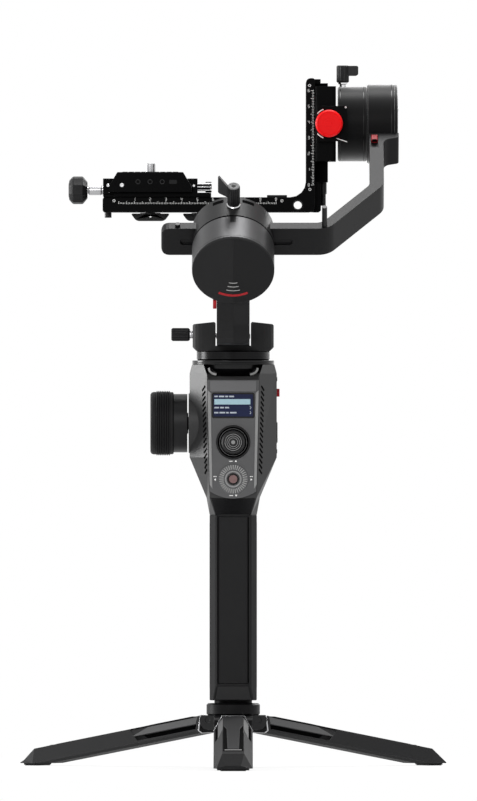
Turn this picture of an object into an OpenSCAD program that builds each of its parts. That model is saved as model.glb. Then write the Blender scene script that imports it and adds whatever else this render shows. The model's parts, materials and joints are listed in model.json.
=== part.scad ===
// Hand-held three-axis camera gimbal that stands on a folding mini tripod.
// Millimetres. X is the operator's right, Y points away from the operator, Z is up.

/* [Fits] */
// Gap between pieces that slide on each other
slide_gap = 0.3; // [0.2:0.05:0.4]
// Radial gap of a shaft that turns in its bore
turn_gap = 0.06; // [0.04:0.01:0.08]
// Gap between fixed pieces that are set into each other
seat_gap = 0.1; // [0.05:0.05:0.15]
// Gap between the still half and the turning half of a motor
motor_gap = 0.5; // [0.4:0.1:0.8]

/* [Tripod] */
// Distance from the pan axis to the tip of a leg
leg_reach = 152; // [140:1:176]
// Width of a leg
leg_w = 25; // [23:0.5:28]
// Width of the flat ridge along the top of a leg
leg_ridge_w = 14; // [12:0.5:15]
// Thickness of a leg
leg_t = 11.3; // [10.5:0.1:12]
// Height of a leg's top face above its hinge axis
leg_rise = 4.3; // [4:0.1:4.6]
// Slope of a leg in degrees
leg_slope = 10.2; // [9:0.1:12]
// Length of the grooves along the sides of a leg
leg_groove_l = 52; // [30:1:70]
// Distance from the pan axis to a leg's hinge
hinge_r = 12; // [11.8:0.1:13]
// Depth of a hinge lug below its hinge axis
lug_r = 6.2; // [6:0.1:6.4]
// Height of a hinge lug above its hinge axis
lug_rise = 3.1; // [2.8:0.1:3.4]
// Width of the slot in a hinge lug
fork_gap = 12; // [10:0.5:13]
// Diameter of a hinge pin
hinge_pin_d = 3.6; // [3:0.2:4]
// Thickness of a rubber foot
pad_h = 1.5; // [1:0.1:2.5]
// Length of a rubber foot
pad_l = 10; // [8:1:14]
// Diameter of the collar on top of the tripod
collar_d = 34; // [30:1:40]
// Height of the collar
collar_h = 7.6; // [6:0.2:10]
// Diameter of the screw stud
stud_d = 6.2; // [5:0.1:8]
// Length of the screw stud above the collar
stud_h = 9; // [7:0.5:10]

/* [Handle] */
// Width of the handle
handle_w = 30; // [28:0.5:34]
// Depth of the handle
handle_d = 36; // [34:0.5:40]
// Width of the flat faces at the front and back of the handle
handle_face_w = 23; // [22:0.5:25]
// Height of the handle
handle_h = 118; // [118:1:140]
// Height of the neck between the collar and the handle
neck_h = 2; // [1:0.2:4]
// Diameter of the neck
neck_d = 24; // [20:1:28]
// Diameter of the metal plug in the handle's foot
plug_d = 18; // [14:1:20]
// Width of the battery pack
battery_w = 19.4; // [19:0.1:20]
// Depth of the battery pack
battery_d = 28; // [24:0.5:30]
// Gap between the battery pack and the top of the handle
battery_top_gap = 1.5; // [1.2:0.1:3]
// Height of the battery pack above the foot of the handle
battery_lift = 11; // [10.6:0.1:11.5]
// Diameter of a battery cell
cell_d = 16.6; // [14:0.2:17]
// Space between the battery cells and at their ends
cell_space = 1.8; // [1.6:0.1:4]

/* [Control box] */
// Width of the control box
box_w = 55.4; // [52:0.2:60]
// Depth of the control box
box_d = 51; // [50:0.5:56]
// Height of the control box
box_h = 95.4; // [94:0.2:104]
// How far the back of the control box stands out over the handle
overhang = 9; // [7:0.5:11]
// Height of the sloped underside of the overhang
undercut_h = 11; // [9:0.5:13]
// Height over which the control box widens
taper_h = 36.5; // [32:0.5:40]
// Depth of the bevels beside the fascia
box_bevel = 16; // [14:0.5:18]
// Wall of the control box
box_wall = 3; // [2:0.2:4]
// Width of the fascia at its top
fascia_w = 33.4; // [32:0.2:36]
// Width of the fascia at its bottom
fascia_low_w = 30; // [29:0.2:31]
// Height of the fascia
fascia_h = 75.6; // [74:0.2:78]
// Thickness of the fascia
fascia_t = 2; // [1.6:0.1:3]
// Distance from the top of the box down to the fascia
fascia_drop = 9.4; // [8.5:0.1:10.5]
// Width of the display
screen_w = 25.6; // [22:0.2:27]
// Height of the display
screen_h = 14.6; // [12:0.2:16]
// Distance from the fascia's top to the middle of the display
screen_drop = 16.5; // [14:0.5:18]
// Diameter of the thumb stick's cap
stick_d = 15.4; // [13:0.2:16]
// Diameter of the well around the thumb stick
well_d = 21.6; // [21:0.1:22]
// Distance from the fascia's top to the thumb stick
stick_drop = 39.9; // [38.5:0.1:41]
// Diameter of the dial
dial_d = 18.4; // [16:0.2:20]
// Diameter of the button inside the dial
button_d = 6.6; // [5:0.2:7]
// Distance from the fascia's top to the dial
dial_drop = 63.3; // [62.5:0.1:64]
// Height of the red side button
side_button_h = 5.1; // [4:0.1:7]
// Depth of the red side button
side_button_d = 9; // [6:0.5:11]
// Distance from the top of the box to the side button
side_button_drop = 17.8; // [16:0.2:22]
// Width of the trigger
trigger_w = 14; // [11:0.5:16]
// Height of the trigger
trigger_h = 28; // [24:0.5:32]
// Distance from the top of the box to the trigger
trigger_drop = 15; // [14:0.5:18]
// Diameter of the trigger's pivots
trigger_pivot_d = 3; // [2:0.5:4]

/* [Focus wheel] */
// Diameter of the ribbed grip
wheel_d = 41; // [38:0.5:46]
// Width of the ribbed grip
wheel_w = 15; // [12:0.5:20]
// Number of ribs around the grip's profile
wheel_ribs = 6; // [4:1:8]
// Diameter of the wheel's hub
wheel_hub_d = 37.2; // [36:0.2:38]
// Width of the wheel's hub
wheel_hub_w = 8.7; // [6:0.1:12]
// Diameter of the boss on the box
boss_d = 38; // [34:0.5:40]
// Diameter of the wheel's axle
axle_d = 8; // [6:0.5:10]
// Open gap between the wheel and its boss
wheel_gap = 0.8; // [0.6:0.1:0.9]
// Distance from the top of the box to the wheel's axis
wheel_drop = 37.2; // [36:0.2:39]

/* [Pan axis] */
// Diameter of the pan motor's flange
pan_flange_d = 52; // [50:0.5:56]
// Height of the pan motor's flange
pan_flange_h = 2.7; // [2:0.1:4]
// Depth of the pan motor inside the box
pan_bowl_h = 7.2; // [6.8:0.1:8]
// Diameter of the pan rotor
pan_rotor_d = 46.5; // [44:0.5:50]
// Height of the pan rotor
pan_rotor_h = 5.4; // [4:0.2:8]
// Diameter of every motor shaft
shaft_d = 12; // [10:0.5:13]
// Outer diameter of the pan bearing
bearing_d = 20; // [18:0.5:21]
// Height of the pan clamp
pan_clamp_h = 18.6; // [17:0.2:20]
// Depth of the pan clamp
pan_clamp_d = 32; // [26:1:38]
// Thickness of the pan clamp's floor
pan_floor_t = 3.4; // [3:0.1:5]
// Width of the pan arm
pan_arm_w = 20.8; // [18:0.2:24]
// Open gap on each side of the pan arm
pan_arm_gap = 0.8; // [0.6:0.1:0.9]
// Height of the bar of the pan arm
pan_bar_h = 11.5; // [10:0.1:12]
// How far the bar reaches in front of the pan axis
pan_bar_front = 30; // [28:1:40]
// Diameter of the pan clamp's knob
pan_knob_d = 8.4; // [7:0.2:10]
// Length of the pan clamp's knob
pan_knob_l = 12; // [9:0.5:16]
// Diameter of the clamp screws
clamp_screw_d = 5; // [4:0.5:6]

/* [Roll axis] */
// Height of the crossing of the roll and tilt axes above the pan rotor
cross_h = 144.5; // [142:0.5:160]
// Slope of the roll axis in degrees
roll_slope = 38; // [37:0.5:40]
// Distance from the crossing of the axes back to the roll motor's cap
roll_reach = 153; // [150:0.5:156]
// Diameter of the roll motor
roll_can_d = 52; // [50:0.5:54]
// Length of the roll motor
roll_can_l = 24; // [22:0.5:26]
// Thickness of the roll motor's cap
roll_cap_t = 1.8; // [1.4:0.1:3]
// Wall of the motor cans
can_wall = 2.4; // [1.8:0.1:3]
// Diameter of the clamp on the roll arm
roll_clamp_d = 51.4; // [50:0.2:53]
// Length of the clamp on the roll arm
roll_clamp_l = 18.8; // [18:0.2:22]
// Wall of the clamp behind the roll arm
roll_clamp_wall = 5.6; // [5:0.1:6.2]

/* [Roll arm] */
// Thickness of the straight part of the roll arm
arm_t = 6.4; // [6:0.1:7.6]
// Height of the roll arm
arm_h = 21; // [19:0.5:24]
// How far the roll arm reaches left of the roll axis
arm_left = 45.5; // [45.5:0.5:55]
// Distance from the roll axis to the first bend
arm_bend_x = 60; // [56:0.5:64]
// Distance from the roll axis to the arm's outer face
arm_out_x = 95.5; // [94:0.5:100]
// Thickness of the arm beside the tilt motor
arm_fork_t = 9; // [8:0.1:11]
// Thickness of the slanted part of the arm
arm_slant_t = 7; // [6:0.1:9]
// Length of the slanted part along the roll axis
arm_slant_l = 46; // [42:0.5:52]
// Travel of a lock tab
lock_travel = 6; // [3:0.5:7]

/* [Tilt axis] */
// Diameter of the tilt motor's still half
tilt_can_d = 50.2; // [48:0.2:54]
// Length of the tilt motor's still half
tilt_can_l = 17; // [16.4:0.1:19]
// Thickness of the tilt motor's cap
tilt_cap_t = 2; // [1.6:0.1:3]
// Diameter of the tilt motor's turning half
tilt_rotor_d = 47.4; // [46:0.2:50]
// Length of the tilt motor's turning half
tilt_rotor_l = 18.6; // [17:0.1:20]
// Gap between the rail clamp and the tilt motor
tilt_hub_l = 1.2; // [1:0.1:2]
// Thickness of the rail clamp
rail_clamp_t = 13.1; // [12.6:0.1:15]
// Height of the rail clamp
rail_clamp_h = 47.7; // [44:0.5:52]
// Depth of the rail clamp
rail_clamp_d = 44; // [40:0.5:48]
// Diameter of the red pull knob
pull_knob_d = 17.4; // [14:0.2:20]

/* [Camera bracket] */
// Thickness of the upright leg
upright_t = 5.7; // [5:0.1:8]
// Thickness of the level leg
level_t = 9.5; // [8:0.1:11]
// Depth of the bracket
bracket_d = 38; // [34:0.5:42]
// Height of the upright leg above the tilt axis
upright_top = 29; // [28:0.5:34]
// Depth of the level leg's underside below the tilt axis
level_drop = 56.2; // [54:0.2:60]
// How far the level leg reaches left of the roll axis
level_left = 83; // [83:0.5:95]
// Thickness of the rail
rail_t = 8.3; // [7:0.1:9]
// Width of the rail at its mouth
rail_mouth_w = 19.4; // [17:0.2:21]
// Width of the rail at its back
rail_w = 27.4; // [24:0.2:29]
// Length of the rail below the tilt axis
rail_drop = 37; // [34:0.5:40]
// Diameter of the accessory hole, the tapping size of a quarter-inch thread
accessory_d = 5.2; // [5:0.1:5.4]

/* [Quick release] */
// Distance from the roll axis to the middle of the camera plate
plate_x = 52.7; // [52:0.1:54]
// Width of the quick-release base
base_w = 60; // [59:0.5:64]
// Height of the quick-release base
base_h = 11.6; // [11:0.1:13]
// Depth of the quick-release base
base_d = 44; // [38:1:52]
// Thickness of the base's floor
base_floor_t = 2.6; // [2.4:0.1:3]
// Width of the camera plate at the top of the base
plate_w = 46.6; // [45:0.2:47]
// Height of the camera plate above the base
plate_proud = 4; // [3:0.1:6]
// Length of the camera plate
plate_l = 70; // [60:1:90]
// Diameter of the camera screw, a quarter-inch thread
camera_screw_d = 6.35; // [6.35]
// Length of the camera screw above the plate
camera_screw_h = 5.6; // [4.5:0.1:6.5]
// Diameter of the jaw knob
jaw_knob_d = 18; // [14:0.5:22]
// Length of the jaw knob
jaw_knob_l = 11.6; // [9:0.2:14]
// Length of the jaw knob's bare stem
jaw_stem_l = 9.8; // [8:0.2:13]
// Diameter of the jaw knob's bare stem
jaw_stem_d = 6.3; // [5:0.1:7]
// Diameter of the thumb screws under the bracket
thumb_screw_d = 6.2; // [5:0.1:7]
// Width of the ring of a thumb screw
thumb_ring_w = 25; // [20:0.5:28]
// Distance between the thumb screws
thumb_pitch = 32.7; // [31:0.1:34]
// Travel of the quick-release base to the left
base_travel_left = 10; // [4:1:10]
// Travel of the quick-release base to the right
base_travel_right = 8; // [4:1:8]

/* [Hidden] */
$fn = 48;

// Colours of the finishes
black_plastic = "#242426";
dark_grey = "#3a3b3e";
mid_grey = "#6a6b6e";
rubber_black = "#151516";
anodised_black = "#1b1b1d";
steel = "#b9babd";
copper = "#b06a3a";
signal_red = "#c8202a";
board_green = "#1f4a33";
glass_navy = "#101c38";

// A cut goes this far past the faces it opens
past = 1;

// Directions of the three legs around the pan axis
front_angle = 270;
left_angle = 150;
right_angle = 30;
leg_angles = [front_angle, left_angle, right_angle];

// Leg, in its own frame: x along the leg from its hinge, z square to its top face
leg_len = (leg_reach - hinge_r) / cos(leg_slope);
leg_root = lug_r + 0.5;
leg_nose_l = 10;
leg_tip_t = 2;
leg_shoulder_drop = 9.8;
tongue_r = 4.5;
leg_underside_w = leg_w - 7;
leg_tip_w = leg_w - 4;
foot_run = pad_l + 10;
hinge_z = pad_h + (leg_len - foot_run) * sin(leg_slope) + (leg_t - leg_rise) * cos(leg_slope);
pad_w = leg_underside_w - 2;
pad_r = leg_reach - 2.5 - pad_l;

// The origin is the middle of the box round the tripod's feet, so the pan axis lies in front of it
footprint_front = leg_reach * sin(right_angle) + leg_tip_w / 2 * cos(right_angle);
pan_y = (leg_reach - footprint_front) / 2;

// Heights, from the floor up
hub_top = hinge_z + lug_rise;
collar_top = hub_top + collar_h;
handle_z = collar_top + neck_h;
box_z = handle_z + handle_h;
box_top = box_z + box_h;
pan_rotor_z = box_top + pan_flange_h + motor_gap;
pan_rotor_top = pan_rotor_z + pan_rotor_h;
pan_bar_z = pan_rotor_top + pan_floor_t + slide_gap;
pan_bar_top = pan_bar_z + pan_bar_h;
cross_z = pan_rotor_top + cross_h;

// Handle and control box
handle_bevel = 8;
battery_z = handle_z + battery_lift;
battery_h = handle_h - battery_lift - battery_top_gap;
cell_l = (battery_h - 3 * cell_space) / 2;
battery_wall = 1.2;
plug_h = battery_lift - slide_gap - 1.2;
box_back = -handle_d / 2 - overhang;
box_front = box_back + box_d;
box_front_bevel = 10;
box_shoulder_h = 5.6;
fascia_top = box_top - fascia_drop;
fascia_sag = 4.4;
face_y = box_back - fascia_t;
board_y = face_y + 11;
board_t = 1.6;
cavity_w = fascia_low_w - 2 * box_wall;
cavity_top = box_top - pan_bowl_h - box_wall;
cavity_front = box_front - 9;
screen_z = fascia_top - screen_drop;
stick_z = fascia_top - stick_drop;
dial_z = fascia_top - dial_drop;
stick_y = face_y + 6;
well_wall = 1;
yoke_r = 5.6;
yoke_bore_r = 4;
yoke_t = 2;
ball_r = 3.6;
yoke_pin_r = 1;
stick_pin_r = 0.9;
side_button_y = 2;
side_button_proud = 1.8;
trigger_top = box_top - trigger_drop;
trigger_pivot = [box_front - 5, trigger_top - 4];

// Focus wheel, along X from the left side of the box outwards
boss_face = -box_w / 2 - 0.7;
boss_seat = 7.7;
wheel_z = box_top - wheel_drop;
wheel_hub_x = boss_face - wheel_gap;
wheel_grip_x = wheel_hub_x - wheel_hub_w;
wheel_core_d = wheel_d - 7;
wheel_rib_depth = 0.9;

// Pan axis
shaft_r = shaft_d / 2;
pan_jaw_x = pan_arm_w / 2 + pan_arm_gap;
pan_jaw_t = 14.6;
pan_clamp_round = 6;
pan_jaw_fall = 1.4;
pan_jaw_edge = 0.8;
pan_knob_z = pan_bar_z + pan_bar_h * 0.6;
pan_stem_l = 1.6;

// Roll axis, along its own axis from the face of the rear cap
roll_can_r = roll_can_d / 2;
roll_y = -roll_reach * cos(roll_slope);
roll_z = cross_z - roll_reach * sin(roll_slope);
roll_clamp_s = roll_can_l + motor_gap;
arm_s = roll_clamp_s + roll_clamp_wall;
roll_clamp_r = roll_clamp_d / 2;
roll_lever_x = 0.3;
lever_screw_d = 4;
roll_lever_s = arm_s + arm_t - lever_screw_d / 2;
lever_lift = 0.5;

// Roll arm, in the plane of X and the roll axis
arm_in_x = arm_out_x - arm_fork_t;
slant = unit([arm_out_x - arm_bend_x, arm_slant_l]);
slant_side = [-slant[1], slant[0]];
slant_start = [arm_bend_x, arm_s] + slant_side * arm_slant_t;
arm_inner_low = slant_start + slant * (arm_s + arm_t - slant_start[1]) / slant[1];
arm_inner_high = slant_start + slant * (arm_in_x - slant_start[0]) / slant[0];
arm_end_s = roll_reach - 10;
tilt_can_r = tilt_can_d / 2;
arm_seat_s = roll_reach - tilt_can_r;
stop_screw_in = 10.4;
stop_screw_l = 1.6;
post_in = 2.3;
post_l = 15;
lock_slot_w = 4.6;
lock_slot_l = 12.5;
lock_slot_depth = 1.6;
lock_slot_x = arm_in_x + 0.9;
lock_slot_s = arm_seat_s - 0.3;
lock_tab_rise = 0.8;
lock_tab_l = lock_slot_l - lock_travel - 2 * slide_gap;

// Tilt axis, along X
tilt_can_x = arm_in_x - 0.9;
tilt_cap_x = tilt_can_x + tilt_can_l;
tilt_rotor_r = tilt_rotor_d / 2;
tilt_rotor_end = tilt_can_x - motor_gap;
tilt_rotor_x = tilt_rotor_end - tilt_rotor_l;
rail_clamp_x = tilt_rotor_x - tilt_hub_l - rail_clamp_t;
rail_clamp_end = rail_clamp_x + rail_clamp_t;
tilt_hub_d = 21.6;
lock_plate_h = 22.4;
lock_plate_t = 4;
lock_plate_y = -tilt_rotor_r - slide_gap;
pull_set = 8.7;
pull_x = rail_clamp_x + pull_set;
lock_plate_reach = 11.4;
pull_stem_d = 6;
pull_knob_t = 7.6;
tilt_lever_x = tilt_rotor_x + 3.2;

// Bracket
upright_out = rail_clamp_x - slide_gap;
upright_in = upright_out - upright_t;
level_z = cross_z - level_drop;
level_top = level_z + level_t;
upright_z = cross_z + upright_top;
rail_x = upright_out + rail_t;
rail_z = cross_z - rail_drop;
rail_top = cross_z + rail_clamp_h / 2 + 2;
corner_r = 10;
accessory_x = upright_in - 5.1;
accessory_z = level_z + 4.6;
rail_foot_w = rail_mouth_w - 1;
rail_foot_t = 2.3;
stop_lug_w = 16;
stop_lug_x = upright_out + 3.7;

// Quick release: outlines in X and Z about the middle of the plate
base_z = level_top + slide_gap;
base_top = base_z + base_h;
base_floor_z = base_z + base_floor_t;
ledge_t = 1.5;
dovetail_slope = 0.6;
dovetail_low = base_floor_z + 4;
plate_low_half = plate_w / 2 + (base_top - dovetail_low) * dovetail_slope;
plate_top = base_top + plate_proud;
plate_top_half = plate_w / 2 - plate_proud * dovetail_slope;
plate_z = base_floor_z + slide_gap;
plate_back = -28;
jaw_gap = 0.3;
jaw_z = base_z + ledge_t + jaw_gap;
jaw_in_x = -plate_low_half + 3;
jaw_knob_z = jaw_z + 2.5;
jaw_screw_d = 3.6;
base_foot_x = thumb_pitch + 6;
pin_d = 5.2;
pin_head_d = 6.8;
pin_z = base_floor_z + pin_head_d / 2 + slide_gap;
screw_slot_half = 15;
camera_shank_d = 5.6;
camera_head_d = 14;
camera_head_h = 3;
camera_head_z = plate_z + 0.8;
thumb_head_d = 13;
thumb_head_t = 0.8;
thumb_ring_h = 4.8;
thumb_ring_t = 2.6;

// Unit vector along a direction
function unit(v) = v / norm(v);

// Points of the arc that rounds the corner at b between a and c
function corner(a, b, c, r, steps) =
    let (
        to_a = unit(a - b),
        to_c = unit(c - b),
        half = acos(to_a * to_c) / 2,
        middle = b + unit(to_a + to_c) * r / sin(half),
        first = b + to_a * r / tan(half) - middle,
        last = b + to_c * r / tan(half) - middle,
        start = atan2(first[1], first[0]),
        turn = atan2(first[0] * last[1] - first[1] * last[0], first * last)
    )
    [for (k = [0:steps]) middle + r * [cos(start + turn * k / steps), sin(start + turn * k / steps)]];

// Outline with its corners rounded, one radius for each corner, zero for a sharp one
function rounded(points, radii, steps = 4) =
    let (n = len(points))
    [for (i = [0:n - 1])
        each (radii[i] == 0
            ? [points[i]]
            : corner(points[(i + n - 1) % n], points[i], points[(i + 1) % n], radii[i], steps))];

// Rectangle about the origin with equally rounded corners
function plaque(w, h, r) =
    rounded([[-w / 2, -h / 2], [w / 2, -h / 2], [w / 2, h / 2], [-w / 2, h / 2]], [r, r, r, r]);

// Solid skinned over outlines of equal length that follow each other
module loft(rings) {
    n = len(rings[0]);
    m = len(rings);
    sides = [for (j = [0:m - 2], i = [0:n - 1])
        let (a = j * n + i, b = j * n + (i + 1) % n)
        each [[a, a + n, b + n], [a, b + n, b]]];
    start = [for (i = [0:n - 1]) i];
    end = [for (i = [n - 1:-1:0]) (m - 1) * n + i];
    polyhedron([for (ring = rings) each ring], concat([start], sides, [end]));
}

// Outline in X and Z, drawn out along Y about y = 0
module along_y(depth) {
    rotate([90, 0, 0]) linear_extrude(depth, center = true) children();
}

// Outline in Y and Z, drawn out along X about x = 0
module along_x(width) {
    rotate([90, 0, 90]) linear_extrude(width, center = true) children();
}

// Round bar along X from x0 to x1
module bar_x(d, x0, x1) {
    translate([x0, 0, 0]) rotate([0, 90, 0]) cylinder(d = d, h = x1 - x0);
}

// Round bar along Y from y0 to y1
module bar_y(d, y0, y1) {
    translate([0, y0, 0]) rotate([-90, 0, 0]) cylinder(d = d, h = y1 - y0);
}

// Box between two corners
module block(low, high) {
    translate(low) cube(high - low);
}

// Everything stands about the pan axis
module on_axis() {
    translate([0, pan_y, 0]) children();
}

// Frame of a leg, at its hinge
module leg_frame(angle) {
    on_axis() rotate([0, 0, angle]) translate([hinge_r, 0, hinge_z]) rotate([0, leg_slope, 0]) children();
}

// Frame of the roll axis: z along it from the rear cap, x to the right, y down and forward
module roll_frame() {
    on_axis() translate([0, roll_y, roll_z]) rotate([roll_slope - 90, 0, 0]) children();
}

// Frame of the tilt axis: its bars run along X through the crossing of the axes
module tilt_frame() {
    on_axis() translate([0, 0, cross_z]) children();
}

// Height of the floor's flat under a leg, in the leg's own frame
function floor_line(x) = (pad_h - hinge_z + x * sin(leg_slope)) / cos(leg_slope);

// Six-sided section of a leg at x
function leg_section(x, ridge, side, under, top, shoulder, low) = [
    [x, -under / 2, low], [x, under / 2, low], [x, side / 2, shoulder],
    [x, ridge / 2, top], [x, -ridge / 2, top], [x, -side / 2, shoulder]
];

module leg_body() {
    shoulder = leg_rise - leg_shoulder_drop;
    low = leg_rise - leg_t;
    nose = floor_line(leg_len);
    loft([
        leg_section(leg_root, leg_ridge_w, leg_w, leg_underside_w, leg_rise, shoulder, low),
        leg_section(leg_len - leg_nose_l, leg_ridge_w, leg_w, leg_underside_w, leg_rise, shoulder, low),
        leg_section(leg_len, leg_ridge_w - 4, leg_tip_w, leg_tip_w - 3, nose + leg_tip_t, nose + 0.4, low)
    ]);
}

// Tongue that turns in the fork of the hub
module leg_tongue() {
    along_y(fork_gap - 2 * slide_gap) {
        circle(r = tongue_r);
        polygon([[0, -tongue_r], [leg_root + past, -tongue_r], [leg_root + past, 2.6], [0, tongue_r - 0.6]]);
    }
}

// Bevel and groove along one side of a leg, cut off at a slant at their outer end
module leg_groove() {
    start = leg_root + 3;
    bevel = 1.2;
    lip = leg_rise - leg_shoulder_drop + 1.4;
    ledge = lip + 3;
    wall = leg_ridge_w / 2 + 1.4;
    edge = leg_w / 2 + past;
    top = leg_rise + past;
    slant = 9;
    intersection() {
        translate([start, 0, 0]) rotate([90, 0, 90]) linear_extrude(2 * leg_groove_l)
            polygon([[leg_ridge_w / 2 - bevel, top], [leg_ridge_w / 2 - bevel, leg_rise], [wall + 1.4, ledge],
                [wall, ledge], [wall, lip], [edge, lip], [edge, top]]);
        along_y(2 * leg_w)
            polygon([[start, lip - past], [start + leg_groove_l - slant, lip - past],
                [start + leg_groove_l, top], [start, top]]);
    }
}

module leg(angle) {
    difference() {
        leg_frame(angle) difference() {
            union() {
                leg_body();
                leg_tongue();
            }
            for (side = [0, 1]) mirror([0, side, 0]) leg_groove();
            bar_y(hinge_pin_d + 2 * turn_gap, -leg_w, leg_w);
        }
        on_axis() translate([0, 0, pad_h - leg_t]) cylinder(r = 2 * leg_reach, h = leg_t);
    }
}

module leg_front() { color(dark_grey) leg(front_angle); }
module leg_left() { color(dark_grey) leg(left_angle); }
module leg_right() { color(dark_grey) leg(right_angle); }

// Rubber pad under the flat of a leg
module foot(angle) {
    on_axis() rotate([0, 0, angle]) translate([pad_r + pad_l / 2, 0, 0])
        linear_extrude(pad_h) polygon(plaque(pad_l, pad_w, 2));
}

module foot_front() { color(rubber_black) foot(front_angle); }
module foot_left() { color(rubber_black) foot(left_angle); }
module foot_right() { color(rubber_black) foot(right_angle); }

// Space for one leg's tongue, across the fork and up to a height above the hinge
module tongue_space(from_r, to_r, high) {
    block([from_r, -fork_gap / 2, -2 * lug_r], [to_r, fork_gap / 2, high]);
}

// A point of the plan, turned about the pan axis
function turned(point, angle) = [
    point.x * cos(angle) - point.y * sin(angle), point.x * sin(angle) + point.y * cos(angle)
];

module tripod_hub() {
    lug_half = leg_w / 2 - 0.3;
    lug_end = hinge_r + lug_r - 0.3;
    notch_r = lug_half / sin(60);
    plan = [for (angle = leg_angles) each [
        turned([lug_end + past, lug_half], angle), turned([lug_end + past, -lug_half], angle),
        turned([notch_r, 0], angle - 60)
    ]];
    low_round = lug_r - 0.1;
    top_round = lug_rise - 0.3;
    // The first and last facets run on past the faces they round off
    run_out = past / tan(15);
    beyond_end = [
        [lug_end - low_round - run_out, -lug_r - past],
        for (turn = [30:30:90])
            [lug_end - low_round * (1 - sin(turn)), low_round * (1 - cos(turn)) - lug_r],
        for (turn = [90:-30:30])
            [lug_end - top_round * (1 - sin(turn)), lug_rise - top_round * (1 - cos(turn))],
        [lug_end - top_round - run_out, lug_rise + past], [lug_end + 2 * past, lug_rise + past],
        [lug_end + 2 * past, -lug_r - past]
    ];
    color(black_plastic) on_axis() translate([0, 0, hinge_z]) difference() {
        translate([0, 0, -lug_r]) linear_extrude(lug_r + lug_rise) polygon(plan);
        for (angle = leg_angles) rotate([0, 0, angle]) {
            along_y(leg_w + 1) polygon(beyond_end);
            tongue_space(hinge_r - tongue_r - 1, hinge_r + 2 * lug_r, 2 * lug_r);
            translate([hinge_r, 0, 0]) bar_y(hinge_pin_d + 2 * turn_gap, -leg_w, leg_w);
        }
    }
}

module leg_pins() {
    color(steel) on_axis() for (angle = leg_angles)
        rotate([0, 0, angle]) translate([hinge_r, 0, hinge_z])
            bar_y(hinge_pin_d, -leg_w / 2 + 0.5, leg_w / 2 - 0.5);
}

module tripod_collar() {
    edge = 1;
    color(dark_grey) on_axis() translate([0, 0, hub_top]) difference() {
        union() {
            rotate_extrude() polygon([
                [0, 0], [collar_d / 2 - edge, 0], [collar_d / 2, edge],
                [collar_d / 2, collar_h - edge], [collar_d / 2 - edge, collar_h], [0, collar_h]
            ]);
            cylinder(d = stud_d, h = collar_h + stud_h);
        }
        for (angle = leg_angles) rotate([0, 0, angle])
            tongue_space(hinge_r - tongue_r + 0.6, hinge_r + tongue_r - 0.6, tongue_r - lug_rise + 0.6);
    }
}

module handle_base() {
    color(steel) on_axis() difference() {
        union() {
            translate([0, 0, collar_top]) cylinder(d = neck_d, h = neck_h);
            translate([0, 0, collar_top]) cylinder(d = plug_d, h = neck_h + plug_h);
        }
        translate([0, 0, collar_top - past]) cylinder(d = stud_d + 2 * seat_gap, h = past + stud_h + 0.5);
    }
}

// Eight-sided section of the handle or the box, flat at the back and front, bevelled between
function oct_section(z, back_w, side_w, front_w, back, back_side, front_side, front) = [
    [-back_w / 2, back, z], [back_w / 2, back, z], [side_w / 2, back_side, z], [side_w / 2, front_side, z],
    [front_w / 2, front, z], [-front_w / 2, front, z],
    [-side_w / 2, front_side, z], [-side_w / 2, back_side, z]
];

function handle_section(z) = oct_section(z, handle_face_w, handle_w, handle_face_w - 4,
    -handle_d / 2, handle_bevel - handle_d / 2, handle_d / 2 - handle_bevel, handle_d / 2);

module handle_shell() {
    foot_bevel_h = 8;
    foot_bevel_d = 3;
    bay_w = battery_w + 2 * slide_gap;
    bay_front = battery_d - handle_d / 2 + slide_gap;
    color(black_plastic) on_axis() difference() {
        loft([handle_section(handle_z), handle_section(box_z)]);
        block([-bay_w / 2, -handle_d, battery_z - slide_gap],
            [bay_w / 2, bay_front, battery_z + battery_h + slide_gap]);
        translate([0, 0, handle_z - past]) cylinder(d = plug_d + 2 * seat_gap, h = past + plug_h + seat_gap);
        along_x(2 * handle_w) polygon([
            [-handle_d / 2 - past, handle_z - past], [foot_bevel_d - handle_d / 2, handle_z - past],
            [foot_bevel_d - handle_d / 2, handle_z], [-handle_d / 2, handle_z + foot_bevel_h],
            [-handle_d / 2 - past, handle_z + foot_bevel_h]
        ]);
    }
}

// Places of the two cells, end to end
module cells(d, l) {
    middle = battery_d / 2 - handle_d / 2;
    for (i = [0, 1])
        translate([0, middle, battery_z + cell_space + i * (cell_l + cell_space) - (l - cell_l) / 2])
            cylinder(d = d, h = l);
}

module battery_case() {
    color(dark_grey) on_axis() difference() {
        translate([0, battery_d / 2 - handle_d / 2, battery_z])
            linear_extrude(battery_h) polygon(plaque(battery_w, battery_d, 1.5));
        cells(cell_d + 2 * seat_gap, cell_l + 2 * seat_gap);
    }
}

module battery_cells() { color(steel) on_axis() cells(cell_d, cell_l); }

// Outer shape of the control box, from the handle's section up to the pan motor
module box_body() {
    low_front = handle_d / 2 + 3;
    loft([
        handle_section(box_z),
        oct_section(box_z + undercut_h, fascia_low_w, handle_w + 4, handle_face_w, box_back,
            box_back + 12, low_front - box_front_bevel, low_front),
        oct_section(box_z + taper_h, (fascia_w + fascia_low_w) / 2, box_w, box_w - 2 * box_front_bevel,
            box_back, box_back + box_bevel, box_front - box_front_bevel, box_front),
        oct_section(box_top - box_shoulder_h, fascia_w, box_w, box_w - 2 * box_front_bevel, box_back,
            box_back + box_bevel, box_front - box_front_bevel, box_front),
        oct_section(box_top, fascia_w, box_w - 3, box_w - 2 * box_front_bevel - 2, box_back + 2,
            box_back + box_bevel, box_front - box_front_bevel, box_front - 2)
    ]);
}

// Space inside the box, open at the back behind the fascia
module box_cavity() {
    low = box_z + undercut_h + box_wall;
    block([-cavity_w / 2, box_back - past, low], [cavity_w / 2, cavity_front, cavity_top]);
    block([box_wall - box_w / 2, box_back + box_bevel + 1, box_z + taper_h],
        [box_w / 2 - box_wall, cavity_front, cavity_top]);
}

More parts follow.
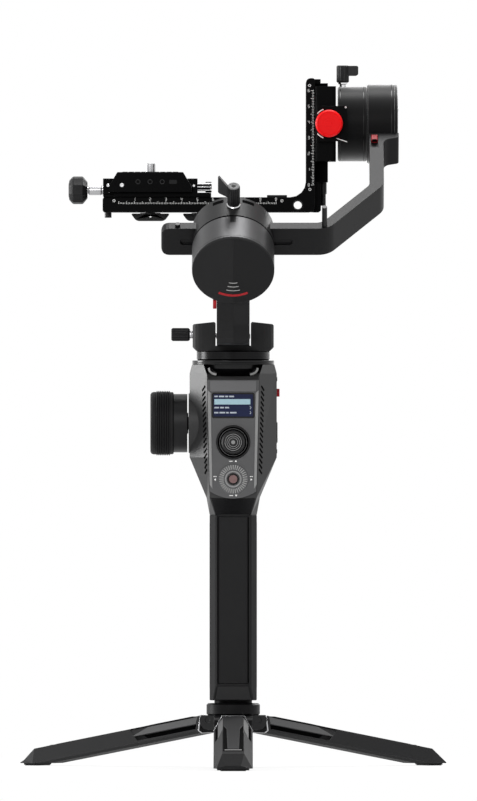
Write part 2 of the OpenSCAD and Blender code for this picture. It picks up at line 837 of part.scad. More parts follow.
// Notch above the fascia that shows the pan motor
module box_notch() {
    low_w = fascia_w - 2;
    high_w = fascia_w + 5;
    translate([0, box_back, 0]) along_y(2 * box_bevel)
        polygon([[-low_w / 2, fascia_top], [low_w / 2, fascia_top],
            [high_w / 2, box_top + past], [-high_w / 2, box_top + past]]);
}

module trigger_slot() {
    w = trigger_w + 2 * slide_gap;
    block([-w / 2, box_front - 14, trigger_top - trigger_h - 1.5],
        [w / 2, box_front + past, trigger_top + 1.5]);
    translate([0, trigger_pivot[0], trigger_pivot[1]])
        bar_x(trigger_pivot_d + 2 * turn_gap, -trigger_w / 2 - 4, trigger_w / 2 + 4);
}

module control_box() {
    color(dark_grey) on_axis() difference() {
        box_body();
        box_cavity();
        box_notch();
        trigger_slot();
        translate([0, 0, box_top]) pan_bowl(seat_gap, past);
        translate([0, 0, wheel_z]) bar_x(boss_d + 2 * seat_gap, boss_face - past, boss_face + boss_seat);
        block([box_w / 2 - 2 * box_wall, side_button_y - side_button_d / 2 - slide_gap,
                box_top - side_button_drop - side_button_h / 2 - slide_gap],
            [box_w / 2 + past, side_button_y + side_button_d / 2 + slide_gap,
                box_top - side_button_drop + side_button_h / 2 + slide_gap]);
    }
}

// Outline of the fascia in X and Z, with its bottom edge bowed down
module fascia_outline() {
    steps = 5;
    low = fascia_top - fascia_h;
    edge = 0.4;
    polygon(concat(
        [for (i = [-steps:steps])
            [(fascia_low_w / 2 - edge) * i / steps, low + fascia_sag * pow(i / steps, 2)]],
        [[fascia_w / 2 - edge, fascia_top - edge], [edge - fascia_w / 2, fascia_top - edge]]));
}

module control_fascia() {
    color(mid_grey) on_axis() translate([0, box_back - fascia_t / 2, 0]) along_y(fascia_t) difference() {
        fascia_outline();
        translate([0, screen_z]) square([screen_w + 2 * seat_gap, screen_h + 2 * seat_gap], center = true);
        translate([0, stick_z]) circle(d = well_d + 2 * seat_gap);
        translate([0, dial_z]) circle(d = dial_d + 2 * slide_gap);
    }
}

module display_window() {
    t = fascia_t - 0.6;
    color(glass_navy) on_axis() translate([0, face_y + seat_gap + t / 2, screen_z])
        along_y(t) square([screen_w, screen_h], center = true);
}

module main_board() {
    low = box_z + undercut_h + box_wall + 1;
    color(board_green) on_axis()
        block([seat_gap - cavity_w / 2, board_y, low],
            [cavity_w / 2 - seat_gap, board_y + board_t, cavity_top - 1]);
}

// Frame of the thumb stick, at its pivot
module stick_frame() {
    on_axis() translate([0, stick_y, stick_z]) children();
}

module stick_well() {
    front = face_y - stick_y - 0.4;
    back = board_y - stick_y - seat_gap;
    color(black_plastic) stick_frame() difference() {
        bar_y(well_d, front, back);
        bar_y(well_d - 2 * well_wall, front - past, back - well_wall);
        bar_x(2 * yoke_pin_r + 2 * turn_gap, -well_d, well_d);
    }
}

module stick_yoke() {
    color(steel) stick_frame() difference() {
        union() {
            bar_y(2 * yoke_r, -yoke_t / 2, yoke_t / 2);
            bar_x(2 * yoke_pin_r, -well_d / 2 + 0.3, well_d / 2 - 0.3);
        }
        bar_y(2 * yoke_bore_r, -yoke_t, yoke_t);
        cylinder(r = stick_pin_r + turn_gap, h = 4 * yoke_r, center = true);
    }
}

module stick_cap() {
    neck_r = 3;
    underside = 7.5;
    dome_h = 4.4;
    cap_r = stick_d / 2;
    color(black_plastic) stick_frame() {
        sphere(r = ball_r);
        bar_y(2 * neck_r, -underside - 1, 0);
        cylinder(r = stick_pin_r, h = 2 * yoke_r - 0.6, center = true);
        rotate([90, 0, 0]) rotate_extrude() polygon([
            [0, underside], [cap_r - 0.6, underside], [cap_r, underside + 0.8], [cap_r, underside + 2],
            [cap_r - 1.2, underside + dome_h - 0.9], [cap_r - 3, underside + dome_h - 0.3],
            [0, underside + dome_h]
        ]);
    }
}

module dial_ring() {
    proud = 0.8;
    skirt_d = 12;
    color(mid_grey) on_axis() translate([0, 0, dial_z]) difference() {
        union() {
            bar_y(dial_d, face_y - proud, face_y + 1.2);
            bar_y(skirt_d, face_y, board_y - slide_gap);
        }
        bar_y(button_d + 2 * slide_gap, face_y - 2 * proud, board_y);
    }
}

module record_button() {
    proud = 1.2;
    button_stroke = 0.8;
    color(signal_red) on_axis() translate([0, 0, dial_z]) {
        bar_y(button_d, face_y - proud, face_y + 2);
        bar_y(button_d - 2, face_y, board_y - button_stroke - 0.1);
    }
}

module side_button() {
    color(signal_red) on_axis() translate([0, side_button_y, box_top - side_button_drop])
        translate([box_w / 2 - 2 * box_wall + 1.6, 0, 0]) rotate([0, 90, 0])
            linear_extrude(2 * box_wall - 1.6 + side_button_proud)
                polygon(plaque(side_button_h, side_button_d, 1));
}

module trigger() {
    h = trigger_h;
    outline = rounded(
        [[-9, 0], [-0.5, 0], [6, -h * 0.2], [7.5, -h * 0.5],
            [5.5, -h * 0.82], [1, -h], [-5, -h], [-9, -h * 0.4]],
        [1, 2, 2, 4, 4, 2, 1, 2]);
    color(black_plastic) on_axis() {
        translate([0, box_front, trigger_top]) along_x(trigger_w) polygon(outline);
        translate([0, trigger_pivot[0], trigger_pivot[1]])
            bar_x(trigger_pivot_d, -trigger_w / 2 - 3.4, trigger_w / 2 + 3.4);
    }
}

module wheel_boss() {
    color(black_plastic) on_axis() translate([0, 0, wheel_z]) difference() {
        bar_x(boss_d, boss_face, boss_face + boss_seat - seat_gap);
        bar_x(axle_d + 2 * turn_gap, boss_face - past, boss_face + boss_seat + past);
    }
}

module focus_hub() {
    stub_d = 13.2;
    lip = 1.2;
    rim = 2.4;
    color(black_plastic) on_axis() translate([0, 0, wheel_z]) difference() {
        union() {
            bar_x(wheel_hub_d, wheel_grip_x, wheel_hub_x);
            bar_x(wheel_core_d, wheel_grip_x - wheel_w + lip, wheel_hub_x - 1);
            bar_x(stub_d, wheel_hub_x - 1, boss_face - 0.2);
            bar_x(axle_d, wheel_hub_x - 1, boss_face + boss_seat - 1);
        }
        bar_x(wheel_core_d - 2 * rim, wheel_grip_x - wheel_w - past, wheel_grip_x - wheel_w + 2.6);
    }
}

// Rubber sleeve with ribs side by side along its width
module focus_grip() {
    pitch = wheel_w / wheel_ribs;
    r = wheel_d / 2;
    ribs = [for (i = [0:wheel_ribs - 1]) each [
        [r - wheel_rib_depth, i * pitch], [r, i * pitch + pitch * 0.3],
        [r, i * pitch + pitch * 0.8], [r - wheel_rib_depth, i * pitch + pitch * 0.95]
    ]];
    bore = wheel_core_d / 2 + seat_gap;
    color(rubber_black) on_axis() translate([wheel_grip_x - wheel_w, 0, wheel_z]) rotate([0, 90, 0])
        rotate_extrude() polygon(concat([[bore, 0]], ribs, [[bore, wheel_w]]));
}

// Round body of the pan motor below its flange, with room all round and above when it is a cut
module pan_bowl(room, above) {
    r = pan_flange_d / 2 - 3;
    rotate_extrude() polygon([
        [0, -pan_bowl_h - room], [r - 8, -pan_bowl_h - room], [r - 2, -pan_bowl_h + 2.4],
        [r + room, -2.6], [r + room, above], [0, above]
    ]);
}

module pan_base() {
    winding_in = bearing_d / 2 + 1.6;
    winding_out = pan_flange_d / 2 - 5;
    color(black_plastic) on_axis() translate([0, 0, box_top]) difference() {
        union() {
            pan_bowl(0, pan_flange_h);
            cylinder(d = pan_flange_d, h = pan_flange_h);
        }
        translate([0, 0, -5.3]) cylinder(d = bearing_d + 2 * seat_gap, h = 5.3 + pan_flange_h + past);
        translate([0, 0, -2.6]) difference() {
            cylinder(r = winding_out, h = 2.6 + pan_flange_h + past);
            cylinder(r = winding_in, h = 4 * pan_bowl_h, center = true);
        }
    }
}

module pan_windings() {
    ring_in = bearing_d / 2 + 1.6 + seat_gap;
    ring_out = pan_flange_d / 2 - 5 - seat_gap;
    color(copper) on_axis() translate([0, 0, box_top - 2.6 + seat_gap]) difference() {
        cylinder(r = ring_out, h = 2.4 + pan_flange_h - 0.4);
        translate([0, 0, -past]) cylinder(r = ring_in, h = 4 * pan_bowl_h);
    }
}

module pan_bearing() {
    color(steel) on_axis() translate([0, 0, box_top - 5.3 + seat_gap]) difference() {
        cylinder(d = bearing_d, h = 5);
        translate([0, 0, -past]) cylinder(d = shaft_d + 2 * turn_gap, h = 5 + 2 * past);
    }
}

module pan_rotor() {
    edge = 0.8;
    r = pan_rotor_d / 2;
    color(dark_grey) on_axis() {
        translate([0, 0, pan_rotor_z]) rotate_extrude() polygon([
            [0, 0], [r - edge, 0], [r, edge],
            [r, pan_rotor_h - edge], [r - edge, pan_rotor_h], [0, pan_rotor_h]
        ]);
        translate([0, 0, box_top - 4.6]) cylinder(d = shaft_d, h = pan_rotor_z - box_top + 5);
    }
}

// Fork that holds the bar of the pan arm
module pan_clamp() {
    out = pan_jaw_x + pan_jaw_t;
    h = pan_clamp_h;
    low = h - pan_jaw_fall;
    edge = pan_jaw_edge;
    color(black_plastic) on_axis() translate([0, 0, pan_rotor_top]) difference() {
        intersection() {
            along_y(pan_clamp_d) polygon([
                [-out, 2.5], [2.5 - out, 0], [out - 2.5, 0], [out, 2.5],
                [out, low - edge], [out - edge, low],
                [pan_jaw_x + edge, h], [pan_jaw_x, h - edge], [pan_jaw_x, pan_floor_t],
                [-pan_jaw_x, pan_floor_t], [-pan_jaw_x, h - edge], [-pan_jaw_x - edge, h],
                [edge - out, low], [-out, low - edge]
            ]);
            linear_extrude(3 * h, center = true) polygon(plaque(2 * out, pan_clamp_d, pan_clamp_round));
        }
        translate([0, 0, pan_knob_z - pan_rotor_top]) bar_x(clamp_screw_d + 2 * turn_gap, -2 * out, 0);
    }
}

module pan_knob() {
    head = -pan_jaw_x - pan_jaw_t - pan_stem_l;
    color(black_plastic) on_axis() translate([0, 0, pan_knob_z]) {
        bar_x(clamp_screw_d, head - 1, -pan_arm_w / 2 - 0.2);
        translate([head - pan_knob_l, 0, 0]) rotate([0, 90, 0]) rotate_extrude() polygon([
            [0, 0], [pan_knob_d / 2 - 0.8, 0], [pan_knob_d / 2, 0.8], [pan_knob_d / 2, pan_knob_l - 2],
            [pan_knob_d / 2 - 1, pan_knob_l], [0, pan_knob_l]
        ]);
    }
}

// Place in Y and Z of a point s along the roll axis and v above it
function roll_point(s, v) = [
    roll_y + s * cos(roll_slope) - v * sin(roll_slope),
    roll_z + s * sin(roll_slope) + v * cos(roll_slope)
];

// Where the plane square to the roll axis at s crosses a height
function roll_plane_y(s, z) = roll_y + (s - (z - roll_z) * sin(roll_slope)) / cos(roll_slope);

// Bar through the pan clamp, and the riser that carries the roll motor at its back
module pan_arm() {
    front_s = roll_can_l - 0.6;
    inside = 4 - roll_can_r;
    back = roll_point(0.6, -roll_can_r);
    color(black_plastic) difference() {
        on_axis() along_x(pan_arm_w) polygon(rounded(
            [
                [pan_bar_front, pan_bar_z], [pan_bar_front, pan_bar_top],
                [roll_plane_y(front_s, pan_bar_top), pan_bar_top],
                roll_point(front_s, inside), roll_point(0.6, inside), back,
                [back[0], pan_bar_z]
            ],
            [2, 2, 4, 0, 0, 0, 14]));
        roll_frame() translate([0, 0, -past]) cylinder(r = roll_can_r + seat_gap, h = roll_can_l + 2 * past);
    }
}

module roll_can() {
    color(mid_grey) roll_frame() difference() {
        translate([0, 0, roll_cap_t]) cylinder(r = roll_can_r, h = roll_can_l - roll_cap_t);
        cylinder(r = roll_can_r - can_wall, h = roll_can_l - can_wall);
        cylinder(d = shaft_d + 2, h = roll_can_l + past);
    }
}

module roll_cap() {
    lip_h = 1.6;
    color(black_plastic) roll_frame() {
        cylinder(r = roll_can_r, h = roll_cap_t);
        cylinder(r = roll_can_r - can_wall - seat_gap, h = roll_cap_t + lip_h);
    }
}

module roll_windings() {
    start = roll_cap_t + 2;
    color(copper) roll_frame() difference() {
        translate([0, 0, start])
            cylinder(r = roll_can_r - can_wall - seat_gap, h = roll_can_l - can_wall - start - seat_gap);
        cylinder(d = shaft_d + 2 * turn_gap, h = roll_can_l);
    }
}

// Red tab beside the pan arm's riser, under the roll motor
module roll_lock() {
    tab_w = 2.3;
    tab_h = 6.6;
    tab_l = 6;
    x = -pan_arm_w / 2 - seat_gap;
    top = sqrt(pow(roll_can_r, 2) - pow(pan_arm_w / 2, 2)) + slide_gap;
    color(signal_red) roll_frame() block([x - tab_w, top, 0.6], [x, top + tab_h, 0.6 + tab_l]);
}

// Turning half of the roll motor, with the passage for the roll arm
module roll_clamp() {
    color(black_plastic) roll_frame() difference() {
        union() {
            translate([0, 0, roll_clamp_s]) cylinder(r = roll_clamp_r, h = roll_clamp_l);
            translate([0, 0, roll_cap_t + 3]) cylinder(d = shaft_d, h = roll_clamp_s - roll_cap_t - 2);
        }
        block([-roll_clamp_d, -arm_h / 2 - slide_gap, arm_s - slide_gap],
            [roll_clamp_d, arm_h / 2 + slide_gap, arm_s + arm_t + slide_gap]);
        translate([roll_lever_x, 0, roll_lever_s]) bar_y(lever_screw_d + 2 * turn_gap, -roll_clamp_d, 0);
    }
}

// Clamp lever along z from its seat: a screw below, a round head and a wing to one side
module clamp_lever(screw_l, head_d, head_h, wing) {
    translate([0, 0, -screw_l]) cylinder(d = lever_screw_d, h = screw_l + 1);
    cylinder(d = head_d, h = head_h);
    along_y(3.4) polygon(wing);
}

module roll_lever() {
    head_d = 8.2;
    head_h = 15;
    wing_foot = 6;
    wing_tip = 22.2;
    wing_reach = 9.9;
    screw_l = roll_clamp_r + lever_lift - arm_h / 2 - slide_gap;
    color(black_plastic) roll_frame() translate([roll_lever_x, 0, roll_lever_s]) rotate([90, 0, 0])
        translate([0, 0, roll_clamp_r + lever_lift])
            clamp_lever(screw_l, head_d, head_h,
                rounded(
                    [
                        [-head_d / 8, wing_foot], [-wing_reach / 2, wing_foot + wing_reach * 0.15],
                        [-wing_reach * 0.97, wing_foot + wing_reach * 0.4], [-wing_reach, wing_tip],
                        [-wing_reach * 0.86, wing_tip], [-head_d * 0.43, head_h], [head_d / 4, head_h],
                        [head_d / 4, wing_foot]
                    ],
                    [0, 2, 1, 0.6, 0.6, 2, 0, 0]));
}

// Outline of the roll arm in X and the distance along the roll axis
function arm_outline() = rounded(
    [
        [-arm_left, arm_s], [arm_bend_x, arm_s], [arm_out_x, arm_s + arm_slant_l],
        [arm_out_x, arm_seat_s - 5], [tilt_cap_x + tilt_cap_t + 0.6, arm_seat_s - 2.5],
        [tilt_cap_x + tilt_cap_t + 0.6, arm_end_s], [arm_in_x, arm_end_s],
        arm_inner_high, arm_inner_low, [-arm_left, arm_s + arm_t]
    ],
    [2, 13, 13, 5, 2, 0, 0, 8, 8, 2], 8);

module roll_arm() {
    groove_l = 71;
    groove_x = 2;
    groove_h = 5.2;
    groove_depth = 1.5;
    span = tilt_cap_x + arm_left + tilt_can_d;
    color(dark_grey) difference() {
        roll_frame() difference() {
            intersection() {
                along_y(arm_h) polygon(arm_outline());
                translate([span / 2 - arm_left, 0, 0])
                    linear_extrude(roll_reach) polygon(plaque(span, arm_h, 5));
            }
            translate([groove_x, 0, arm_s - past])
                linear_extrude(past + groove_depth) polygon(plaque(groove_l, groove_h, 2.2));
            block([lock_slot_x, -arm_h / 2 - past, lock_slot_s - lock_slot_l],
                [lock_slot_x + lock_slot_w, lock_slot_depth - arm_h / 2, lock_slot_s]);
        }
        tilt_frame() bar_x(tilt_can_d + 2 * seat_gap, arm_in_x - tilt_can_l, tilt_cap_x + tilt_can_d);
    }
}

// Stop screw and post that stand on the top edge of the roll arm
module arm_screws() {
    d = 3.3;
    color(steel) roll_frame()
    for (place = [[stop_screw_in - arm_left, stop_screw_l], [arm_bend_x - post_in, post_l]])
        translate([place[0], 0, arm_s + arm_t / 2]) bar_y(d, -arm_h / 2 - place[1], -arm_h / 2);
}

module tilt_can() {
    color(black_plastic) tilt_frame() difference() {
        bar_x(tilt_can_d, tilt_can_x, tilt_cap_x);
        bar_x(tilt_can_d - 2 * can_wall, tilt_can_x + can_wall, tilt_cap_x + past);
        bar_x(shaft_d + 2, tilt_can_x - past, tilt_cap_x);
    }
}

module tilt_cap() {
    edge = 0.8;
    lip_l = 1.6;
    r = tilt_can_r;
    color(black_plastic) tilt_frame() translate([tilt_cap_x, 0, 0]) {
        rotate([0, 90, 0]) rotate_extrude() polygon([
            [0, 0], [r, 0], [r, tilt_cap_t - edge], [r - edge, tilt_cap_t], [0, tilt_cap_t]
        ]);
        bar_x(tilt_can_d - 2 * can_wall - 2 * seat_gap, -lip_l, 1);
    }
}

module tilt_windings() {
    color(copper) tilt_frame() difference() {
        bar_x(tilt_can_d - 2 * can_wall - 2 * seat_gap, tilt_can_x + can_wall + seat_gap, tilt_cap_x - 2.4);
        bar_x(shaft_d + 2 * turn_gap, tilt_can_x, tilt_cap_x);
    }
}

// Red tab in the slot on the roll arm, beside the tilt motor
module tilt_lock() {
    end = lock_slot_s - slide_gap;
    x = lock_slot_x + slide_gap;
    color(signal_red) roll_frame()
        block([x, -arm_h / 2 - lock_tab_rise, end - lock_tab_l], [x + lock_slot_w - 2 * slide_gap,
            lock_slot_depth - arm_h / 2 - seat_gap, end]);
}

module tilt_rotor() {
    edge = 0.8;
    r = tilt_rotor_r;
    l = tilt_rotor_l;
    color(black_plastic) tilt_frame() difference() {
        union() {
            translate([tilt_rotor_x, 0, 0]) rotate([0, 90, 0]) rotate_extrude() polygon([
                [0, 0], [r - edge, 0], [r, edge], [r, l - edge], [r - edge, l], [0, l]
            ]);
            bar_x(shaft_d, tilt_rotor_end - 1, tilt_cap_x - 3);
        }
        translate([tilt_lever_x, 0, r - 12]) cylinder(d = lever_screw_d + 2 * turn_gap, h = 12 + past);
    }
}

// Outline in X and Y of the rail on the bracket, wider at its back, with room all round when it is a cut
module rail_outline(room) {
    polygon([
        [upright_out - past, -rail_mouth_w / 2 - room], [upright_out, -rail_mouth_w / 2 - room],
        [rail_x + room, -rail_w / 2 - room], [rail_x + room, rail_w / 2 + room],
        [upright_out, rail_mouth_w / 2 + room], [upright_out - past, rail_mouth_w / 2 + room]
    ]);
}

// Block on the tilt motor that holds the rail of the bracket
module rail_clamp() {
    middle = rail_clamp_x + rail_clamp_t / 2;
    plate_end = pull_x + lock_plate_reach;
    color(anodised_black) tilt_frame() difference() {
        union() {
            translate([middle, 0, -rail_clamp_h / 2])
                linear_extrude(rail_clamp_h) polygon(plaque(rail_clamp_t, rail_clamp_d, 2));
            bar_x(tilt_hub_d, rail_clamp_end - 1, tilt_rotor_x);
            block([rail_clamp_x + 1, lock_plate_y - lock_plate_t, -lock_plate_h / 2],
                [plate_end, lock_plate_y, lock_plate_h / 2]);
            block([rail_clamp_x + 1, lock_plate_y - 1, -lock_plate_h / 2],
                [rail_clamp_end - 1, 1 - rail_clamp_d / 2, lock_plate_h / 2]);
        }
        linear_extrude(2 * rail_clamp_h, center = true) rail_outline(slide_gap);
        translate([pull_x, 0, 0]) bar_y(pull_stem_d + 2 * turn_gap, -2 * rail_clamp_d, 0);
    }
}

module tilt_lever() {
    head_d = 8.3;
    head_h = 12;
    seat = tilt_rotor_r + 1.6;
    color(black_plastic) tilt_frame() translate([tilt_lever_x, 0, seat])
        clamp_lever(10, head_d, head_h, rounded([[0, 5.2], [9.6, 5.2], [9.6, 12], [0, 12]], [0, 2, 2, 0]));
}

module pull_knob() {
    seat = lock_plate_y - lock_plate_t - slide_gap;
    r = pull_knob_d / 2;
    edge = 1.2;
    color(signal_red) tilt_frame() translate([pull_x, 0, 0]) {
        bar_y(pull_stem_d, seat - 1, -rail_w / 2 - 2 * slide_gap);
        translate([0, seat, 0]) rotate([90, 0, 0]) rotate_extrude() polygon([
            [0, 0], [r - edge, 0], [r, edge],
            [r, pull_knob_t - edge], [r - edge, pull_knob_t], [0, pull_knob_t]
        ]);
    }
}

// L bracket with a rail on its upright leg and a long slot in its level leg
module bracket() {
    slot_w = thumb_screw_d + 2 * slide_gap;
    slot_left = -plate_x - thumb_screw_d / 2 - base_travel_left - 1;
    slot_right = thumb_pitch - plate_x + thumb_screw_d / 2 + base_travel_right + 1;
    outline = rounded(
        [[-level_left, level_z], [upright_out, level_z], [upright_out, upright_z], [upright_in, upright_z],
            [upright_in, level_top], [-level_left, level_top]],
        [1.5, 4, 1.5, 3, corner_r, 1.5]);
    color(anodised_black) on_axis() difference() {
        union() {
            along_y(bracket_d) polygon(outline);
            translate([0, 0, rail_z]) linear_extrude(rail_top - rail_z) rail_outline(0);
            block([upright_out - 1, -rail_foot_w / 2, level_z],
                [upright_out + rail_foot_t, rail_foot_w / 2, rail_z + 1]);
            block([upright_in + 1, -stop_lug_w / 2, rail_top - 1],
                [stop_lug_x, stop_lug_w / 2, upright_z - 0.5]);
        }
        translate([(slot_left + slot_right) / 2, 0, level_z - past])
            linear_extrude(level_t + 2 * past)
                polygon(plaque(slot_right - slot_left, slot_w, slot_w / 2 - 0.1));
        translate([accessory_x, 0, accessory_z]) bar_y(accessory_d, -bracket_d, bracket_d);
    }
}

// Stop screws under the rail and under the free end of the level leg
module stop_screws() {
    color(steel) on_axis() {
        translate([upright_out + rail_t * 0.65, 0, rail_z - 7.5]) cylinder(d = 4.4, h = 7.5);
        translate([upright_out + rail_t * 0.65, 0, rail_z - 15]) cylinder(d = 3.3, h = 8);
        translate([3.4 - level_left, 0, level_z - 3.4]) cylinder(d = 4.4, h = 3.4);
    }
}

// Half of the plate's passage in X and Z, from its middle to one side
function passage(side, room) = [
    [side * (plate_low_half + room), plate_z - room], [side * (plate_low_half + room), dovetail_low],
    [side * (plate_w / 2 + room), base_top], [side * (plate_w / 2 + room), base_top + past]
];

// Everything of the quick release stands about the middle of the plate
module on_plate() {
    on_axis() translate([-plate_x, 0, 0]) children();
}

module quick_base() {
    half = base_w / 2;
    color(anodised_black) on_plate() difference() {
        along_y(base_d) polygon(concat(
            [[-half, base_z], [base_foot_x, base_z], [base_foot_x, base_floor_z],
                [half, base_floor_z], [half, base_top]],
            [for (i = [2:-1:0]) passage(1, slide_gap)[i]],
            [[jaw_in_x, base_floor_z], [jaw_in_x, base_z + ledge_t], [-half, base_z + ledge_t]]));
        for (x = [0, thumb_pitch])
            translate([x, 0, base_z - past])
                cylinder(d = thumb_screw_d + 2 * turn_gap, h = past + base_floor_t - 0.4);
        translate([0, 0, pin_z]) bar_x(pin_d + 2 * turn_gap, half - 2, half + past);
    }
}

// Jaw that the knob draws against the plate
module quick_jaw() {
    half = base_w / 2;
    color(anodised_black) on_plate() difference() {
        along_y(base_d) polygon([
            [-half, jaw_z], [jaw_in_x - slide_gap, jaw_z], [jaw_in_x - slide_gap, plate_z - slide_gap],
            passage(-1, slide_gap)[0], passage(-1, slide_gap)[1], passage(-1, slide_gap)[2], [-half, base_top]
        ]);
        translate([0, 0, jaw_knob_z]) bar_x(jaw_screw_d + 2 * turn_gap, -base_w, 2.4 - half);
    }
}

module jaw_knob() {
    half = base_w / 2;
    stem_end = -half - slide_gap;
    neck = stem_end - jaw_stem_l;
    r = jaw_knob_d / 2;
    color(steel) on_plate() translate([0, 0, jaw_knob_z]) {
        bar_x(jaw_screw_d, stem_end - 1, 2 - half);
        bar_x(jaw_stem_d, neck - 1, stem_end);
        translate([neck - jaw_knob_l, 0, 0]) rotate([0, 90, 0]) rotate_extrude() polygon([
            [0, 0], [r - 1.4, 0], [r, 1.4], [r, jaw_knob_l - 4],
            [jaw_stem_d / 2 + 0.8, jaw_knob_l], [0, jaw_knob_l]
        ]);
    }
}

// Spring pin that keeps the plate from sliding out
module safety_pin() {
    half = base_w / 2;
    color(steel) on_plate() translate([0, 0, pin_z]) {
        bar_x(pin_d, half - 1.6, half + 6);
        bar_x(pin_head_d, half + 5, half + 9);
    }
}

module camera_plate() {
    middle = plate_back + plate_l / 2;
    slot_w = camera_screw_d + 2 * slide_gap;
    color(anodised_black) on_plate() translate([0, middle, 0]) difference() {
        along_y(plate_l) polygon([
            [-plate_low_half, plate_z], [plate_low_half, plate_z], [plate_low_half, dovetail_low],
            [plate_top_half, plate_top], [-plate_top_half, plate_top], [-plate_low_half, dovetail_low]
        ]);
        linear_extrude(plate_top + past) polygon(plaque(slot_w, 2 * screw_slot_half, slot_w / 2 - 0.1));
        linear_extrude(camera_head_z + camera_head_h + slide_gap)
            polygon(plaque(camera_head_d + 2 * slide_gap, 2 * screw_slot_half + camera_head_d,
                camera_head_d / 2));
    }
}

module camera_screw() {
    middle = plate_back + plate_l / 2;
    color(steel) on_plate() translate([0, middle, 0]) {
        translate([0, 0, camera_head_z]) cylinder(d = camera_head_d, h = camera_head_h);
        translate([0, 0, camera_head_z]) cylinder(d = camera_shank_d, h = plate_top - camera_head_z + 0.4);
        translate([0, 0, plate_top + 0.2]) cylinder(d = camera_screw_d, h = camera_screw_h);
    }
}

// Screw with a folding-style ring below its head
module thumb_screw(x) {
    top = level_z - slide_gap;
    ring_top = top - thumb_head_t;
    half = thumb_ring_w / 2;
    outline = rounded(
        [[-half, 0], [-half * 0.72, -thumb_ring_h], [half * 0.72, -thumb_ring_h], [half, 0]],
        [0.6, 4, 4, 0.6]);
    color(anodised_black) on_plate() translate([x, 0, 0]) {
        translate([0, 0, ring_top]) cylinder(d = thumb_screw_d, h = base_floor_z - 0.6 - ring_top);
        translate([0, 0, ring_top]) cylinder(d = thumb_head_d, h = thumb_head_t);
        translate([0, 0, ring_top + 0.4]) along_y(thumb_ring_t) difference() {
            polygon(outline);
            polygon([[-3.1, -0.5], [3.1, -0.5], [0, -2.6]]);
        }
    }
}

module thumb_screw_left() { thumb_screw(0); }
module thumb_screw_right() { thumb_screw(thumb_pitch); }

tripod_hub();
tripod_collar();
leg_pins();
leg_front();
leg_left();
leg_right();
foot_front();
foot_left();
foot_right();
handle_shell();
handle_base();
battery_case();
battery_cells();
control_box();
control_fascia();
display_window();
main_board();
stick_well();
stick_yoke();
stick_cap();
dial_ring();
record_button();
side_button();
trigger();
wheel_boss();
focus_hub();
focus_grip();
pan_base();
pan_windings();
pan_bearing();
pan_rotor();
pan_clamp();
pan_knob();
pan_arm();
roll_can();
roll_cap();
roll_windings();
roll_lock();
roll_clamp();
roll_lever();
roll_arm();
arm_screws();
tilt_can();
tilt_cap();
tilt_windings();
tilt_lock();
tilt_rotor();
rail_clamp();
tilt_lever();
pull_knob();
bracket();
stop_screws();
quick_base();
quick_jaw();
jaw_knob();
safety_pin();
camera_plate();
camera_screw();
thumb_screw_left();
thumb_screw_right();
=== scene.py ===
"""Looks of the camera gimbal: finishes, fine detail, floor, light and camera."""
import json
import math

import bmesh
import bpy
from mathutils import Matrix, Vector
from mathutils.bvhtree import BVHTree


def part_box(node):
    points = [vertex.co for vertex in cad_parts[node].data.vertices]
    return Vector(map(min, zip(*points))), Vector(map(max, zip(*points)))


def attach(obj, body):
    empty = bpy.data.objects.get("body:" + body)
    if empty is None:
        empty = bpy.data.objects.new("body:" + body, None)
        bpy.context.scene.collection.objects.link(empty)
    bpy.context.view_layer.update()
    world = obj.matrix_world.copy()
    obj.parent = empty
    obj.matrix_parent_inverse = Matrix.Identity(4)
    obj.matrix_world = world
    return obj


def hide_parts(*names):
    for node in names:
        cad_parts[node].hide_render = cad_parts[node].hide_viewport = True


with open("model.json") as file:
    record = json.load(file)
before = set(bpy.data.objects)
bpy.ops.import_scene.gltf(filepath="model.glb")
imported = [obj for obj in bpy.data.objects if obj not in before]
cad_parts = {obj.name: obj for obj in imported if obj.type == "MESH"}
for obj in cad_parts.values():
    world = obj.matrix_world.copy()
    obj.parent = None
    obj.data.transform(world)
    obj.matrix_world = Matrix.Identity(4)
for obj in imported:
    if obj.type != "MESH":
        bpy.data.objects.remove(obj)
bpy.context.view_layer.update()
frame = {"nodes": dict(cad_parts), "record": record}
nodes = frame["nodes"]
joints = {joint["name"]: joint for joint in frame["record"]["behaviour"]["joints"]}
scene = bpy.context.scene

# Shapes below are given in millimetres about the pan axis and scaled to metres when a piece is made
MM = 0.001
RIGHT = Vector((1, 0, 0))
AHEAD = Vector((0, 1, 0))
UP = Vector((0, 0, 1))
SIDES = (("left", -1), ("right", 1))
PAN_Y = (Vector(joints["pan_turn"]["pos_m"]) / MM).y

# Steps round a turned shape, a large one, a screw head, a rounded corner, an arc and a rod
ROUND_STEPS = 72
FINE_STEPS = 96
SCREW_STEPS = 24
CORNER_STEPS = 5
ARC_STEPS = 24
ROD_STEPS = 10

# Painted marks reach from just below a face to just above it
PAINT_FOOT = -0.05
PAINT_RISE = 0.06

# Distance from the pan axis at which a line starts outside every solid
OUTSIDE = 200

# Upward share of a normal from which its face counts as level
NEARLY_LEVEL = 0.9


# Measures of the frame

def about_pan(point):
    """Point of the frame in millimetres about the pan axis."""
    return Vector(point) / MM - PAN_Y * AHEAD


def joint_at(name):
    """Place of a joint."""
    return about_pan(joints[name]["pos_m"])


def low(name):
    """Lowest corner of a node."""
    return about_pan(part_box(name)[0])


def high(name):
    """Highest corner of a node."""
    return about_pan(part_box(name)[1])


def size(name):
    """Width, depth and height of a node."""
    return high(name) - low(name)


def centre(name):
    """Middle of a node's box."""
    return (low(name) + high(name)) / 2


# Frames that shapes are placed in

def axes(x_axis, z_axis, origin=(0, 0, 0)):
    """Frame with the given x and z directions, at a point about the pan axis."""
    z = z_axis.normalized()
    x = x_axis.normalized()
    place = Matrix((x, z.cross(x), z)).transposed().to_4x4()
    place.translation = Vector(origin) + PAN_Y * AHEAD
    return place


